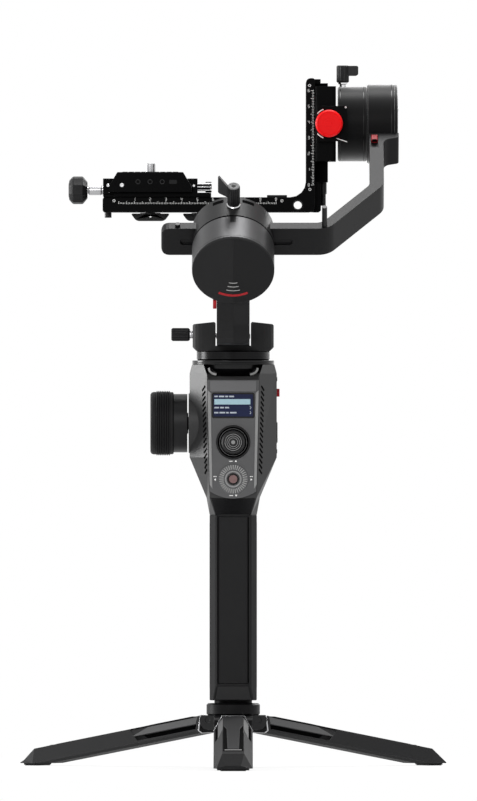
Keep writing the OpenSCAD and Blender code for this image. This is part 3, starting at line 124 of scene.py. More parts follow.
def rear(y):
    """Frame on a face that looks at the operator: x to the right, y up."""
    return axes(RIGHT, -AHEAD, (0, y, 0))


def right_side(x):
    """Frame on a face that looks right: x away from the operator, y up."""
    return axes(AHEAD, RIGHT, (x, 0, 0))


def level(z):
    """Frame on a level face: x to the right, y away from the operator."""
    return axes(RIGHT, UP, (0, 0, z))


def along_x(name):
    """Frame with z running right from the middle of a node's left end."""
    middle = centre(name)
    return axes(AHEAD, RIGHT, (low(name).x, middle.y, middle.z))


def moved(place, x=0.0, y=0.0, z=0.0):
    """The same frame with its origin moved along its own axes."""
    return place @ Matrix.Translation((x, y, z))


def on_face(name, origin, direction):
    """Frame on a solid's surface where a line from a point first meets it."""
    mesh = nodes[name].data
    corners = [vert.co for vert in mesh.vertices]
    tree = BVHTree.FromPolygons(corners, [face.vertices for face in mesh.polygons])
    point, normal, _, _ = tree.ray_cast((Vector(origin) + PAN_Y * AHEAD) * MM, direction)
    across = RIGHT if abs(normal.z) > NEARLY_LEVEL else UP.cross(normal)
    return axes(across, normal, about_pan(point))


def on_rear(name, x, z):
    """Frame on a solid's surface as the operator sees it."""
    return on_face(name, (x, -OUTSIDE, z), AHEAD)


def on_front(name, x, z):
    """Frame on a solid's surface as seen from ahead."""
    return on_face(name, (x, OUTSIDE, z), -AHEAD)


def on_side(name, side, y, z):
    """Frame on a solid's surface as seen from the right (1) or the left (-1)."""
    return on_face(name, (side * OUTSIDE, y, z), -side * RIGHT)


# Outlines

def spread(first, last, steps):
    """Evenly spaced values from first to last."""
    return [first + (last - first) * k / steps for k in range(steps + 1)]


def polar(r, degrees):
    """Point at a distance and an angle from the origin."""
    angle = math.radians(degrees)
    return Vector((r * math.cos(angle), r * math.sin(angle)))


def sided(outline, side):
    """Outline drawn for the right (1), or mirrored to the left (-1)."""
    return [(side * x, y) for x, y in outline]


def plaque(w, h, r):
    """Rectangle about the origin with rounded corners."""
    outline = []
    for quarter, (sx, sy) in enumerate(((1, 1), (-1, 1), (-1, -1), (1, -1))):
        corner = Vector((sx * (w / 2 - r), sy * (h / 2 - r)))
        angles = spread(90 * quarter, 90 * quarter + 90, CORNER_STEPS)
        outline += [corner + polar(r, angle) for angle in angles]
    return outline


# Shapes: each is a list of points and a list of faces

def skin(rings, place, closed=False, capped=False):
    """Surface over rings of points, closed on itself or capped at its ends; a ring of one point is a tip."""
    count = max(len(ring) for ring in rings)
    points = []
    loops = []
    for ring in rings:
        loops.append([len(points) + k % len(ring) for k in range(count)])
        points += [place @ Vector(point) for point in ring]
    faces = [loops[0][::-1], loops[-1]] if capped else []
    following = loops[1:] + loops[:1] if closed else loops[1:]
    for a, b in zip(loops, following):
        for k in range(count):
            j = (k + 1) % count
            corners = list(dict.fromkeys((a[k], a[j], b[j], b[k])))
            if len(corners) > 2:
                faces.append(corners)
    return points, faces


def slanted(outline, start, ends, place):
    """Outline in x and y drawn out along z, each of its corners to an end of its own."""
    near = [(x, y, start) for x, y in outline]
    far = [(x, y, end) for (x, y), end in zip(outline, ends)]
    return skin([near, far], place, capped=True)


def prism(outline, start, end, place):
    """Outline in x and y drawn out along z."""
    return slanted(outline, start, [end] * len(outline), place)


def slab(x0, y0, x1, y1, start, end, place):
    """Box between two corners in x and y, from start to end along z."""
    return prism([(x0, y0), (x1, y0), (x1, y1), (x0, y1)], start, end, place)


def paint(x0, y0, x1, y1, place):
    """Painted rectangle on a face."""
    return slab(x0, y0, x1, y1, PAINT_FOOT, PAINT_RISE, place)


def stroke(a, b, width, start, end, place):
    """Straight bar of a given width from a to b in x and y."""
    a = Vector(a)
    b = Vector(b)
    side = Vector((a.y - b.y, b.x - a.x)).normalized() * width / 2
    return prism([a - side, b - side, b + side, a + side], start, end, place)


def lathe(profile, place, steps=ROUND_STEPS, closed=False, teeth=0, tooth=0.0, tooth_from=0.0):
    """Profile of radius and height turned about z; teeth cut every other step of its outer rings."""
    count = 2 * teeth if teeth else steps
    rings = []
    for r, z in profile:
        reaches = [r, r - tooth] * teeth if teeth and r > tooth_from else [r] * count
        corners = [(*polar(reach, 360 * k / count), z) for k, reach in enumerate(reaches)]
        rings.append(corners if r else corners[:1])
    return skin(rings, place, closed)


def ring(profile, place, steps=ROUND_STEPS):
    """Closed profile of radius and height turned about z."""
    return lathe(profile, place, steps, closed=True)


def hoop(inner, outer, start, end, place, steps=ROUND_STEPS):
    """Flat ring."""
    return ring([(inner, start), (outer, start), (outer, end), (inner, end)], place, steps)


def band(r, first, last, start, end, rise, place, sunk=0.3, steps=16):
    """Curved strip on a round surface about z, between two angles in degrees."""
    corners = ((r - sunk, start), (r + rise, start), (r + rise, end), (r - sunk, end))
    rings = [[(*polar(reach, angle), z) for reach, z in corners] for angle in spread(first, last, steps)]
    return skin(rings, place, capped=True)


def arc_plate(inner, outer, first, last, start, end, place):
    """Flat arc between two radii and two angles in degrees."""
    angles = spread(first, last, ARC_STEPS)
    outline = [polar(outer, angle) for angle in angles] + [polar(inner, angle) for angle in reversed(angles)]
    return prism(outline, start, end, place)


def rod(points, r, place):
    """Round rod along points."""
    rings = []
    for i, point in enumerate(points):
        before = Vector(points[max(i - 1, 0)])
        after = Vector(points[min(i + 1, len(points) - 1)])
        along = (after - before).normalized()
        side = side - side.dot(along) * along if rings else along.orthogonal()
        side.normalize()
        other = along.cross(side)
        turns = [polar(r, 360 * k / ROD_STEPS) for k in range(ROD_STEPS)]
        rings.append([Vector(point) + x * side + y * other for x, y in turns])
    return skin(rings, place, capped=True)


def window_ring(outer, inner, start, end, place):
    """Flat frame between two outlines with the same number of points."""
    rings = [[(x, y, z) for x, y in outline]
             for outline, z in ((outer, start), (outer, end), (inner, end), (inner, start))]
    return skin(rings, place, closed=True)


def screw_head(r, h, place):
    """Low round screw head with a sunk socket."""
    socket = 0.2 * h
    profile = [(0, -0.3), (r, -0.3), (r, 0.6 * h), (0.82 * r, h), (0.5 * r, h), (0.42 * r, socket),
               (0, socket)]
    return lathe(profile, place, SCREW_STEPS)


def screw_circle(r, h, reach, place):
    """Four screw heads on a circle about z."""
    return [screw_head(r, h, moved(place, *polar(reach, angle))) for angle in (45, 135, 225, 315)]


# Strokes of plain numerals, in a cell one unit wide and two units high
SEGMENTS = {
    "a": ((0, 2), (1, 2)), "b": ((1, 2), (1, 1)), "c": ((1, 1), (1, 0)), "d": ((0, 0), (1, 0)),
    "e": ((0, 1), (0, 0)), "f": ((0, 2), (0, 1)), "g": ((0, 1), (1, 1)),
}
NUMERALS = ("abcdef", "bc", "abged", "abgcd", "fgbc", "afgcd", "afgedc", "abc", "abcdefg", "abcdfg")
NUMERAL_HEIGHT = 1.7
NUMERAL_WEIGHT = 0.13 * NUMERAL_HEIGHT


def numeral(value, x, y, place):
    """Strokes of a plain numeral about x and y."""
    unit = NUMERAL_HEIGHT / 2
    corner = Vector((x - unit / 2, y - unit))
    strokes = []
    for letter in NUMERALS[value]:
        a, b = [corner + unit * Vector(end) for end in SEGMENTS[letter]]
        strokes.append(stroke(a, b, NUMERAL_WEIGHT, PAINT_FOOT, PAINT_RISE, place))
    return strokes


# Finishes

def put(tree, socket, value):
    """Sets a shader input to a value, or joins it to an output; a node means its first output."""
    if isinstance(value, bpy.types.Node):
        value = value.outputs[0]
    if isinstance(value, bpy.types.NodeSocket):
        tree.links.new(value, socket)
    else:
        socket.default_value = value


def fill(tree, made, *first, **named):
    """Gives a shader node its first inputs in order and others by name."""
    for socket, value in zip(made.inputs, first):
        put(tree, socket, value)
    for name, value in named.items():
        put(tree, made.inputs[name.replace("_", " ")], value)


def node(tree, kind, *first, operation=None, **named):
    """New shader node with its inputs filled."""
    made = tree.nodes.new("ShaderNode" + kind)
    if operation:
        made.operation = operation
    fill(tree, made, *first, **named)
    return made


# Places of the colour sockets among those of a mix node
MIX_FIRST = 6
MIX_SECOND = 7
MIX_RESULT = 2


def mixed(tree, share, first, second):
    """Colour mixed from two others."""
    mix = node(tree, "Mix", share)
    mix.data_type = "RGBA"
    put(tree, mix.inputs[MIX_FIRST], first)
    put(tree, mix.inputs[MIX_SECOND], second)
    return mix.outputs[MIX_RESULT]


# Spread of the roughness, roughness of the sheen, and depth of the relief in metres
ROUGH_SWING = 0.08
SHEEN_ROUGH = 0.4
RELIEF_DEPTH = 0.0002

# Width of a paler edge in metres, match of its normals at no and at full paling, and how much paler it is;
# the paler edge is partly wear and partly a painted highlight
WEAR_AND_HIGHLIGHT_WIDTH = 0.0004
WEAR_AND_HIGHLIGHT_NONE = 0.995
WEAR_AND_HIGHLIGHT_FULL = 0.8
WEAR_AND_HIGHLIGHT_GAIN = 3
WEAR_AND_HIGHLIGHT_LIFT = 0.05


def finish(name, colour, rough, specular, bump, metal=0.0, cloud=0.1, cloud_scale=38.0, grain=2600.0,
           stretch=(1, 1, 1), edge=0.0, sheen=0.0):
    """Procedural finish: soft colour clouds, fine grain in roughness and relief, paler edges that are partly
    from use and partly a painted highlight.
    """
    material = bpy.data.materials.new(name)
    material.use_nodes = True
    tree = material.node_tree
    place = node(tree, "TexCoord").outputs["Object"]
    mapped = node(tree, "Mapping", Vector=place, Scale=stretch)
    soft = node(tree, "TexNoise", Vector=mapped, Scale=cloud_scale, Detail=4.0, Roughness=0.6)
    fine = node(tree, "TexNoise", Vector=mapped, Scale=grain, Detail=2.0, Roughness=0.55)
    dark = [channel * (1 - cloud) for channel in colour] + [1]
    pale = [channel * (1 + cloud) for channel in colour] + [1]
    tint = mixed(tree, soft, dark, pale)
    # Paler edges: partly wear, partly a painted highlight on the chamfers
    if edge:
        rounded = node(tree, "Bevel", Radius=WEAR_AND_HIGHLIGHT_WIDTH)
        rounded.samples = 4
        plain = node(tree, "NewGeometry").outputs["Normal"]
        match = node(tree, "VectorMath", rounded, plain, operation="DOT_PRODUCT").outputs["Value"]
        wear_and_highlight = node(tree, "MapRange", match, From_Min=WEAR_AND_HIGHLIGHT_NONE, From_Max=WEAR_AND_HIGHLIGHT_FULL, To_Min=0.0, To_Max=edge)
        worn_and_highlit = [min(1, channel * WEAR_AND_HIGHLIGHT_GAIN + WEAR_AND_HIGHLIGHT_LIFT) for channel in colour] + [1]
        tint = mixed(tree, wear_and_highlight, tint, worn_and_highlit)
    swing = node(tree, "MapRange", fine, To_Min=rough - ROUGH_SWING, To_Max=rough + ROUGH_SWING)
    relief = node(tree, "Bump", Strength=bump, Distance=RELIEF_DEPTH, Height=fine)
    fill(tree, tree.nodes["Principled BSDF"], Metallic=metal, Specular_IOR_Level=specular, Sheen_Weight=sheen,
         Sheen_Roughness=SHEEN_ROUGH, Base_Color=tint, Roughness=swing, Normal=relief)
    return material


LOOKS = {}


def look(name, slot, *values, **more):
    """Makes a finish; the slot of the record that it belongs to is not used."""
    LOOKS[name] = finish(name, *values, **more)


def grey(warm, more_blue=0.0005):
    """Grey with a trace more or less blue than red and green."""
    return (warm, warm, warm + more_blue)


# Name, slot, colour, roughness, specular level and relief
look("handle_plastic", "black_plastic", grey(0.0195), 0.44, 0.02, 0.1, grain=2200, edge=0.3)
look("jaw_plastic", "black_plastic", grey(0.0205), 0.58, 0.13, 0.1, grain=2200, edge=0.3)
look("box_plastic", "black_plastic", grey(0.016), 0.4, 0.38, 0.06, grain=2400, edge=0.2)
look("gloss_black", "black_plastic", grey(0.0035), 0.2, 0.25, 0.02, grain=900)
look("knob_plastic", "black_plastic", grey(0.006), 0.36, 0.2, 0.1, edge=0.25)
look("knob_grey", "black_metal", grey(0.008), 0.42, 0.16, 0.08, edge=0.25)
look("wing_grey", "grey_metal", grey(0.11, 0.002), 0.45, 0.3, 0.06, cloud=0.06, edge=0.2)
look("wing_dark", "black_plastic", grey(0.032, 0.001), 0.6, 0.1, 0.08, edge=0.3)
look("cap_dark", "black_plastic", grey(0.004), 0.42, 0.18, 0.1, grain=2200)
look("stick_rubber", "rubber", grey(0.014), 0.46, 0.3, 0.12, grain=2400)
look("fascia_grey", "grey_plastic", grey(0.084, 0.002), 0.5, 0.22, 0.1, cloud=0.07, edge=0.3)
look("brow_grey", "grey_plastic", grey(0.125, 0.003), 0.5, 0.25, 0.1, cloud=0.07)
look("rail_grey", "grey_plastic", grey(0.23, 0), 0.42, 0.3, 0.06, cloud=0.05)
look("mark_grey", "grey_plastic", grey(0.34, -0.005), 0.55, 0.25, 0.03, cloud=0.06, grain=1500)
look("mark_white", "grey_plastic", grey(0.78, -0.01), 0.55, 0.25, 0.03, cloud=0.05, grain=1500)
look("anodised", "black_metal", grey(0.0012, 0.0002), 0.4, 0.035, 0.1, grain=3000, edge=0.12)
look("motor_black", "black_metal", grey(0.0015, 0.0002), 0.34, 0.05, 0.05, edge=0.3, sheen=1.0)
look("collar_black", "black_metal", grey(0.004, 0.0004), 0.4, 0.1, 0.1, edge=0.3)
# Near-black and matt: real slots, seams and a gaiter, and painted shade in gaps and grooves
look("gap_black", "black_plastic", grey(0.0015, 0.0001), 0.85, 0.02, 0.1, grain=2000)
# Lighter grey for the legs' upper facets, painted light where they face the lamps
look("facet_grey", "black_metal", grey(0.066, 0.001), 0.55, 0.2, 0.06, edge=0.2)
look("arm_metal", "black_metal", grey(0.0068), 0.38, 0.13, 0.09, grain=3000, edge=0.3)
look("clamp_metal", "black_metal", grey(0.014), 0.44, 0.2, 0.12, edge=0.3)
look("boss_metal", "black_metal", grey(0.024), 0.44, 0.28, 0.12, edge=0.3)
# Legs get strongly paler edges: a painted highlight along their ridges as well as wear
look("leg_metal", "black_metal", grey(0.0135), 0.6, 0.1, 0.1, edge=0.6)
look("can_metal", "grey_metal", grey(0.068, 0.0015), 0.42, 0.3, 0.05, metal=0.85, cloud=0.06, grain=1800,
     stretch=(1, 4, 4))
look("rotor_metal", "grey_metal", grey(0.014), 0.24, 0.3, 0.03, metal=0.9, cloud=0.06, grain=1500,
     stretch=(1, 1, 6))
look("steel", "steel", grey(0.46, 0.01), 0.24, 0.35, 0.05, metal=1.0, cloud=0.08, grain=2200,
     stretch=(0.2, 1, 1))
look("polished", "steel", grey(0.72, 0.01), 0.12, 0.35, 0.02, metal=1.0, cloud=0.04, grain=1500)
look("black_steel", "black_metal", grey(0.0045), 0.32, 0.25, 0.08, edge=0.3)
look("copper_wire", "windings", (0.42, 0.17, 0.07), 0.35, 0.35, 0.3, metal=1.0, cloud=0.2, grain=900)
look("rubber", "rubber", grey(0.006), 0.62, 0.2, 0.25, grain=2000)
look("red_gloss", "red_plastic", (0.83, 0.004, 0.006), 0.32, 0.12, 0.04, cloud=0.05)
look("red_dull", "red_plastic", (0.3, 0.008, 0.012), 0.42, 0.2, 0.08, cloud=0.12)
look("button_rose", "red_plastic", (0.17, 0.1, 0.097), 0.42, 0.25, 0.06, cloud=0.08)
look("glass_navy", "display", (0.013, 0.017, 0.05), 0.14, 0.12, 0.01, cloud=0.25, cloud_scale=120, grain=1500)
look("row_blue", "display", (0.34, 0.5, 0.57), 0.4, 0.2, 0.02, cloud=0.08, cloud_scale=200, grain=1500)
look("row_pale", "display", (0.42, 0.46, 0.52), 0.4, 0.2, 0.02, cloud_scale=200, grain=1500)
look("board_green", "board", (0.02, 0.09, 0.045), 0.45, 0.35, 0.1, cloud=0.15, grain=1500)
look("cell_wrap", "cells", (0.06, 0.09, 0.22), 0.35, 0.35, 0.03, grain=1500)


# Solids of the frame

# Distance in metres within which points are one, and angles at which faces are one plane or an edge is sharp
SAME_POINT = 1e-6
PLANE_ANGLE = math.radians(0.4)
EDGE_ANGLE = math.radians(28)
EDGE_STEPS = 2


def soften(solid, width):
    """Rounds sharp edges by a width in millimetres and evens the shading."""
    edge = solid.modifiers.new("edge", "BEVEL")
    edge.width = width * MM
    edge.segments = EDGE_STEPS
    edge.limit_method = "ANGLE"
    edge.angle_limit = EDGE_ANGLE
    edge.use_clamp_overlap = True
    normal = solid.modifiers.new("normal", "WEIGHTED_NORMAL")
    normal.keep_sharp = True


def dress(name, look_name, width, flatten=True):
    """Gives a solid a finish and softens its edges; flatten first joins the facets of its plane faces."""
    solid = nodes[name]
    solid.data.materials.clear()
    solid.data.materials.append(LOOKS[look_name])
    weld = solid.modifiers.new("weld", "WELD")
    weld.merge_threshold = SAME_POINT
    if flatten:
        flat = solid.modifiers.new("flat", "DECIMATE")
        flat.decimate_type = "DISSOLVE"
        flat.angle_limit = PLANE_ANGLE
    soften(solid, width)


# Finish, width of the softened edges, and solids
for look_name, width, names in (
        ("leg_metal", 0.8, "leg_front leg_left leg_right"),
        ("black_steel", 0.3, "tripod_hub safety_pin thumb_screw_left thumb_screw_right"),
        ("black_steel", 0.2, "leg_pins arm_screws stop_screws"),
        ("collar_black", 0.4, "tripod_collar"),
        ("rubber", 0.3, "foot_front foot_left foot_right"),
        ("rubber", 0.2, "focus_grip"),
        ("steel", 0.2, "stick_yoke pan_bearing camera_screw"),
        ("anodised", 0.2, "handle_base"),
        ("anodised", 0.35, "rail_clamp bracket quick_base quick_jaw camera_plate"),
        ("handle_plastic", 0.6, "handle_shell trigger"),
        ("handle_plastic", 0.9, "pan_arm"),
        ("handle_plastic", 0.4, "roll_cap"),
        ("cell_wrap", 0.3, "battery_cells"),
        ("box_plastic", 0.6, "control_box"),
        ("fascia_grey", 0.3, "control_fascia dial_ring pan_rotor"),
        ("glass_navy", 0.1, "display_window"),
        ("board_green", 0.1, "main_board"),
        ("gloss_black", 0.25, "stick_well pan_base"),
        ("boss_metal", 0.4, "wheel_boss"),
        ("knob_plastic", 0.4, "focus_hub"),
        ("knob_plastic", 0.3, "roll_lever tilt_lever pan_knob jaw_knob stick_cap"),
        ("button_rose", 0.3, "record_button"),
        ("red_dull", 0.3, "side_button roll_lock tilt_lock"),
        ("red_gloss", 0.4, "pull_knob"),
        ("copper_wire", 0.2, "pan_windings roll_windings tilt_windings"),
        ("jaw_plastic", 0.4, "pan_clamp"),
        ("can_metal", 0.3, "roll_can"),
        ("clamp_metal", 0.5, "roll_clamp"),
        ("arm_metal", 0.5, "roll_arm"),
        ("motor_black", 0.4, "tilt_can tilt_cap tilt_rotor")):
    for name in names.split():
        dress(name, look_name, width)
dress("battery_case", "handle_plastic", 0.5, flatten=False)


def piece(name, body, look_name, *shapes, bevel=0.0, sharp=32, stands_for=None):
    """Piece made of shapes, which rides on a body and may stand for a node."""
    bm = bmesh.new()
    for points, faces in shapes:
        verts = [bm.verts.new(point) for point in points]
        for face in faces:
            bm.faces.new([verts[k] for k in face])
    bmesh.ops.recalc_face_normals(bm, faces=bm.faces)
    for vert in bm.verts:
        vert.co *= MM
    mesh = bpy.data.meshes.new(name)
    bm.to_mesh(mesh)
    bm.free()
    mesh.shade_smooth()
    mesh.set_sharp_from_angle(angle=math.radians(sharp))
    mesh.materials.append(LOOKS[look_name])
    made = bpy.data.objects.new(name, mesh)
    scene.collection.objects.link(made)
    if bevel:
        soften(made, bevel)
    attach(made, body)
    if stands_for:
        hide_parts(stands_for)


# Camera holder: rulers, quick release, knobs

HOLDER_REAR = rear(low("bracket").y)
PLATE_REAR = rear(low("camera_plate").y)
BASE_REAR = rear(low("quick_base").y)
LEVEL_TOP = low("quick_base").z - 0.3
UPRIGHT_RIGHT = 51.9
LEVEL_SCALE = 100
UPRIGHT_SCALE = 60


def bracket_marks():
    """Scales along the level leg and up the upright, in millimetres with plain numbers."""
    first_x = -72.8
    foot_z = LEVEL_TOP - 4.3
    top_z = high("bracket").z - 7.9
    edge_x = UPRIGHT_RIGHT - 0.6
    shapes = []
    for k in range(LEVEL_SCALE + 1):
        x = first_x + k
        tall = 1.7 if k % 5 == 0 else 0.95
        shapes.append(paint(x - 0.14, foot_z, x + 0.14, foot_z + tall, HOLDER_REAR))
        if k % 10 == 0 and k:
            shapes += numeral(k // 10 % 10, x, foot_z + 3.0, HOLDER_REAR)
    for k in range(UPRIGHT_SCALE + 1):
        z = top_z - k
        long = 2.0 if k % 5 == 0 else 1.2
        shapes.append(paint(edge_x - long, z - 0.13, edge_x, z + 0.13, HOLDER_REAR))
        if k % 10 == 0:
            shapes += numeral((UPRIGHT_SCALE - k) // 10, UPRIGHT_RIGHT - 3.9, z, HOLDER_REAR)
    for x, z in ((-75.8, foot_z + 2.1), (31, foot_z + 2.0), (UPRIGHT_RIGHT - 3.4, top_z + 3.2),
                 (UPRIGHT_RIGHT - 3.2, top_z - 62.8)):
        shapes.append(hoop(0.55, 0.9, PAINT_FOOT, PAINT_RISE, moved(HOLDER_REAR, x, z), 20))
    piece("bracket_marks", "bracket", "mark_white", *shapes)


def level_stop():
    """Low rubber stop bar on top of the level leg."""
    piece("level_stop", "bracket", "rubber", slab(21.5, -9, 34.2, 9, -0.1, 1.5, level(LEVEL_TOP)), bevel=0.3)


def bracket_trim():
    """Rim of the accessory hole and the black foot that closes the rail's lower end."""
    hole = moved(HOLDER_REAR, 41.1, 357.6)
    piece("hole_rim", "bracket", "black_steel", hoop(2.85, 3.25, PAINT_FOOT, 0.12, hole, 40))
    foot = moved(rear(0), 0, low("bracket").z + 0.1)
    outline = [(48, 0), (54.6, 0), (55.8, 1.2), (55.8, 27), (54, 27), (54, 4), (48, 4)]
    piece("rail_foot", "bracket", "anodised", prism(outline, -9, 9, foot), bevel=0.2)


def slide_gap_shades():
    """Thin dark strips of painted shade in the running gaps of the quick release."""
    middle_x = centre("camera_plate").x
    place = moved(rear(0), middle_x)
    reach = high("quick_base").y - 0.3
    floor_z = low("camera_plate").z - 0.3
    knee_z = floor_z + 4.0
    top_z = high("quick_base").z - 0.1
    ledge_z = low("quick_jaw").z
    wide = high("camera_plate").x - middle_x
    inner = wide + 0.08
    outer = wide + 0.35
    lean = 3.0
    floor_left = -23.3
    # The dark strips below are painted shade in the gaps between the plate, jaw, base and level leg
    base = [(floor_left, floor_z - 0.05), (outer, floor_z - 0.05), (outer, knee_z), (outer - lean, top_z),
            (inner - lean, top_z), (inner, knee_z), (inner, floor_z + 0.22), (floor_left, floor_z + 0.22)]
    piece("base_gap_shade", "quick base", "gap_black", prism(base, -reach, reach, place))
    slope = [(-outer, floor_z), (-inner, floor_z), (-inner, knee_z), (lean - inner, top_z),
             (lean - outer, top_z), (-outer, knee_z)]
    step = [(-27.1, ledge_z - 0.24), (-23.38, ledge_z - 0.24), (-23.38, floor_z + 0.2),
            (-23.65, floor_z + 0.2), (-23.65, ledge_z + 0.05), (-27.1, ledge_z + 0.05)]
    piece("jaw_gap_shade", "quick jaw", "gap_black",
          prism(slope, -reach, reach, place), prism(step, -reach, reach, place))
    left_x = low("quick_base").x + 0.3
    right_x = high("quick_base").x - 0.3
    piece("level_gap_shade", "bracket", "gap_black",
          slab(left_x, LEVEL_TOP - 0.05, right_x, LEVEL_TOP + 0.24, -12, 12, rear(0)))


def quick_release_screws():
    """Small bright screws on the rear faces of the plate, jaw and base."""
    for name, body, face, x, z, r in (
            ("plate_screw", "camera plate", PLATE_REAR, -70.7, 370.2, 1.25),
            ("jaw_screw", "quick jaw", BASE_REAR, -79.5, 370.0, 1.0),
            ("base_screw", "quick base", BASE_REAR, -25.0, 369.9, 0.9)):
        piece(name, body, "polished", screw_head(r, 0.5, moved(face, x, z)))


def plate_marks():
    """Three blind hole rims and a slot insert on the rear edge of the camera plate."""
    holes = moved(PLATE_REAR, 0, 372.3)
    piece("plate_hole_rims", "camera plate", "black_steel",
          *[hoop(1.15, 1.5, PAINT_FOOT, 0.12, moved(holes, x), 32) for x in (-60.5, -52.8, -45.1)])
    slot = moved(PLATE_REAR, -38.2, 372.2)
    piece("plate_slot", "camera plate", "rubber", prism(plaque(5.0, 2.6, 0.6), -0.1, 0.15, slot), bevel=0.1)


def plate_pads():
    """Two ribbed rubber strips on top of the camera plate."""
    top = level(high("camera_plate").z)
    middle_x = centre("camera_plate").x
    inset = 12
    for name, y in (("pad_strip_rear", low("camera_plate").y + inset),
                    ("pad_strip_front", high("camera_plate").y - inset)):
        ribs = [slab(x - 1.7, y - 6, x + 1.7, y + 6, -0.1, 0.3, top)
                for x in spread(middle_x - 16, middle_x + 16, 8)]
        piece(name, "camera plate", "rubber", *ribs, bevel=0.15)


def jaw_knob():
    """Faceted clamping knob on a bright screw."""
    place = along_x("jaw_knob")
    length = size("jaw_knob").x
    grip = lathe([(0, 0), (6.2, 0), (7.9, 1.4), (9.0, 2.6), (9.0, 8.7), (5.4, 11.7), (0, 11.7)], place,
                 teeth=9, tooth=0.65, tooth_from=5)
    piece("jaw_grip", "jaw knob", "knob_grey", grip, bevel=0.35, stands_for="jaw_knob")
    stem = [(0, 11.2), (2.3, 11.2), (2.3, 12.4), (3.1, 12.8), (3.1, 20.2), (2.7, 20.6), (2.7, length),
            (0, length)]
    piece("jaw_stem", "jaw knob", "steel", lathe(stem, place), bevel=0.12)
    cap = [(0, 0.05), (4.6, 0.05), (4.6, -0.2), (4.1, -0.35), (0, -0.35)]
    piece("jaw_cap", "jaw knob", "black_steel", lathe(cap, place, 40), bevel=0.1)


def safety_pin_wires():
    """Three bright wires with round ends along the rear of the safety pin."""
    place = axes(RIGHT, UP, (0, low("safety_pin").y, centre("safety_pin").z))
    sunk = 0.3
    bead = [(0, -0.7), (0.45, -0.5), (0.7, 0), (0.45, 0.5), (0, 0.7)]
    shapes = []
    for z in (-2.0, 0.0, 2.0):
        shapes.append(rod([(-23.6, sunk, z), (-14.6, sunk, z)], 0.38, place))
        shapes.append(lathe(bead, moved(place, -14.4, sunk, z), 16))
    piece("safety_wires", "safety pin", "polished", *shapes, sharp=60)


def focus_grip():
    """Rubber grip: smooth outer lip, then a band of fine ribs and a plain shoulder."""
    width = size("focus_grip").x
    r = size("focus_grip").z / 2
    ribs = 8
    first = 3.9
    pitch = (width - first - 2.2) / ribs
    profile = [(17.2, 1.0), (18.2, 0.2), (19.4, 0.9), (19.9, 2.2), (19.9, 3.6)]
    for k in range(ribs):
        z = first + k * pitch
        profile += [(r - 0.75, z), (r, z + 0.25 * pitch), (r, z + 0.7 * pitch), (r - 0.75, z + 0.95 * pitch)]
    profile += [(19.8, width - 2.0), (19.8, width - 0.6), (19.2, width), (17.2, width)]
    grip = ring(profile, along_x("focus_grip"), FINE_STEPS)
    piece("focus_ribs", "focus wheel", "rubber", grip, sharp=40, stands_for="focus_grip")
    hub = along_x("focus_hub")
    button = lathe([(0, 0.3), (6.4, 0.3), (6.4, -0.1), (5.8, -0.45), (0, -0.5)], hub)
    piece("focus_face", "focus wheel", "black_steel", hoop(14.6, 15.2, -0.12, 0.3, hub), button, bevel=0.08)


# Tilt axis

PULL_AT = centre("pull_knob")


def tilt_lever():
    """Knurled hub with a flat wing, on a bright stem."""
    hub_z = 435.6
    top = high("tilt_lever").z - hub_z
    foot = low("tilt_lever").z - hub_z
    at = joint_at("tilt_lever_turn")
    origin = (at.x, at.y, hub_z)
    place = axes(RIGHT, UP, origin)
    hub = lathe([(0, 0), (3.3, 0), (4.0, 0.7), (4.0, top - 0.7), (3.4, top), (1.7, top), (1.7, top - 2.2),
                 (0, top - 2.2)], place, teeth=20, tooth=0.28, tooth_from=3.2)
    piece("tilt_lever_hub", "tilt lever", "knob_plastic", hub, bevel=0.08, stands_for="tilt_lever")
    wing = [(3.2, 4.3), (8.6, 4.3), (9.9, 5.4), (9.9, top - 0.9), (9.2, top - 0.2), (3.2, top - 0.2)]
    piece("tilt_lever_wing", "tilt lever", "wing_dark",
          prism(wing, -1.6, 1.6, axes(RIGHT, -AHEAD, origin)), bevel=0.4)
    stem = [(0, foot), (2.0, foot), (2.0, -1.2), (2.9, -1.0), (2.9, 0.1), (0, 0.1)]
    piece("tilt_lever_stem", "tilt lever", "polished", lathe(stem, place, 40), bevel=0.1)


def pull_knob_trim():
    """Raised rim and a shallow ring on the red knob."""
    face = moved(rear(low("pull_knob").y), PULL_AT.x, PULL_AT.z)
    piece("pull_rim", "pull knob", "red_gloss",
          ring([(6.7, -0.3), (6.9, 0.25), (7.5, 0.45), (8.0, 0.1), (8.1, -0.3)], face),
          ring([(2.2, -0.2), (2.3, 0.12), (2.9, 0.12), (3.0, -0.2)], face), sharp=60)


def lock_plate_trim():
    """Painted arcs round the pull knob, with a painted highlight along the lower edge of its plate and a
    small painted highlight ring at its corner.
    """
    place = moved(rear(low("rail_clamp").y), PULL_AT.x, PULL_AT.z)
    piece("lock_arcs", "tilt head", "mark_white",
          *[arc_plate(9.4, 10.1, first, first + 28, -0.1, 0.1, place) for first in (112, 220)])
    # The bright stroke and small ring are painted highlights on the plate's edge and corner
    piece("lock_painted_highlights", "tilt head", "mark_white", stroke((4.8, -9.4), (11.4, -11.6), 0.5, -0.1, 0.1, place),
          hoop(0.2, 0.6, -0.1, 0.1, moved(place, 10.6, 10.4), 20))


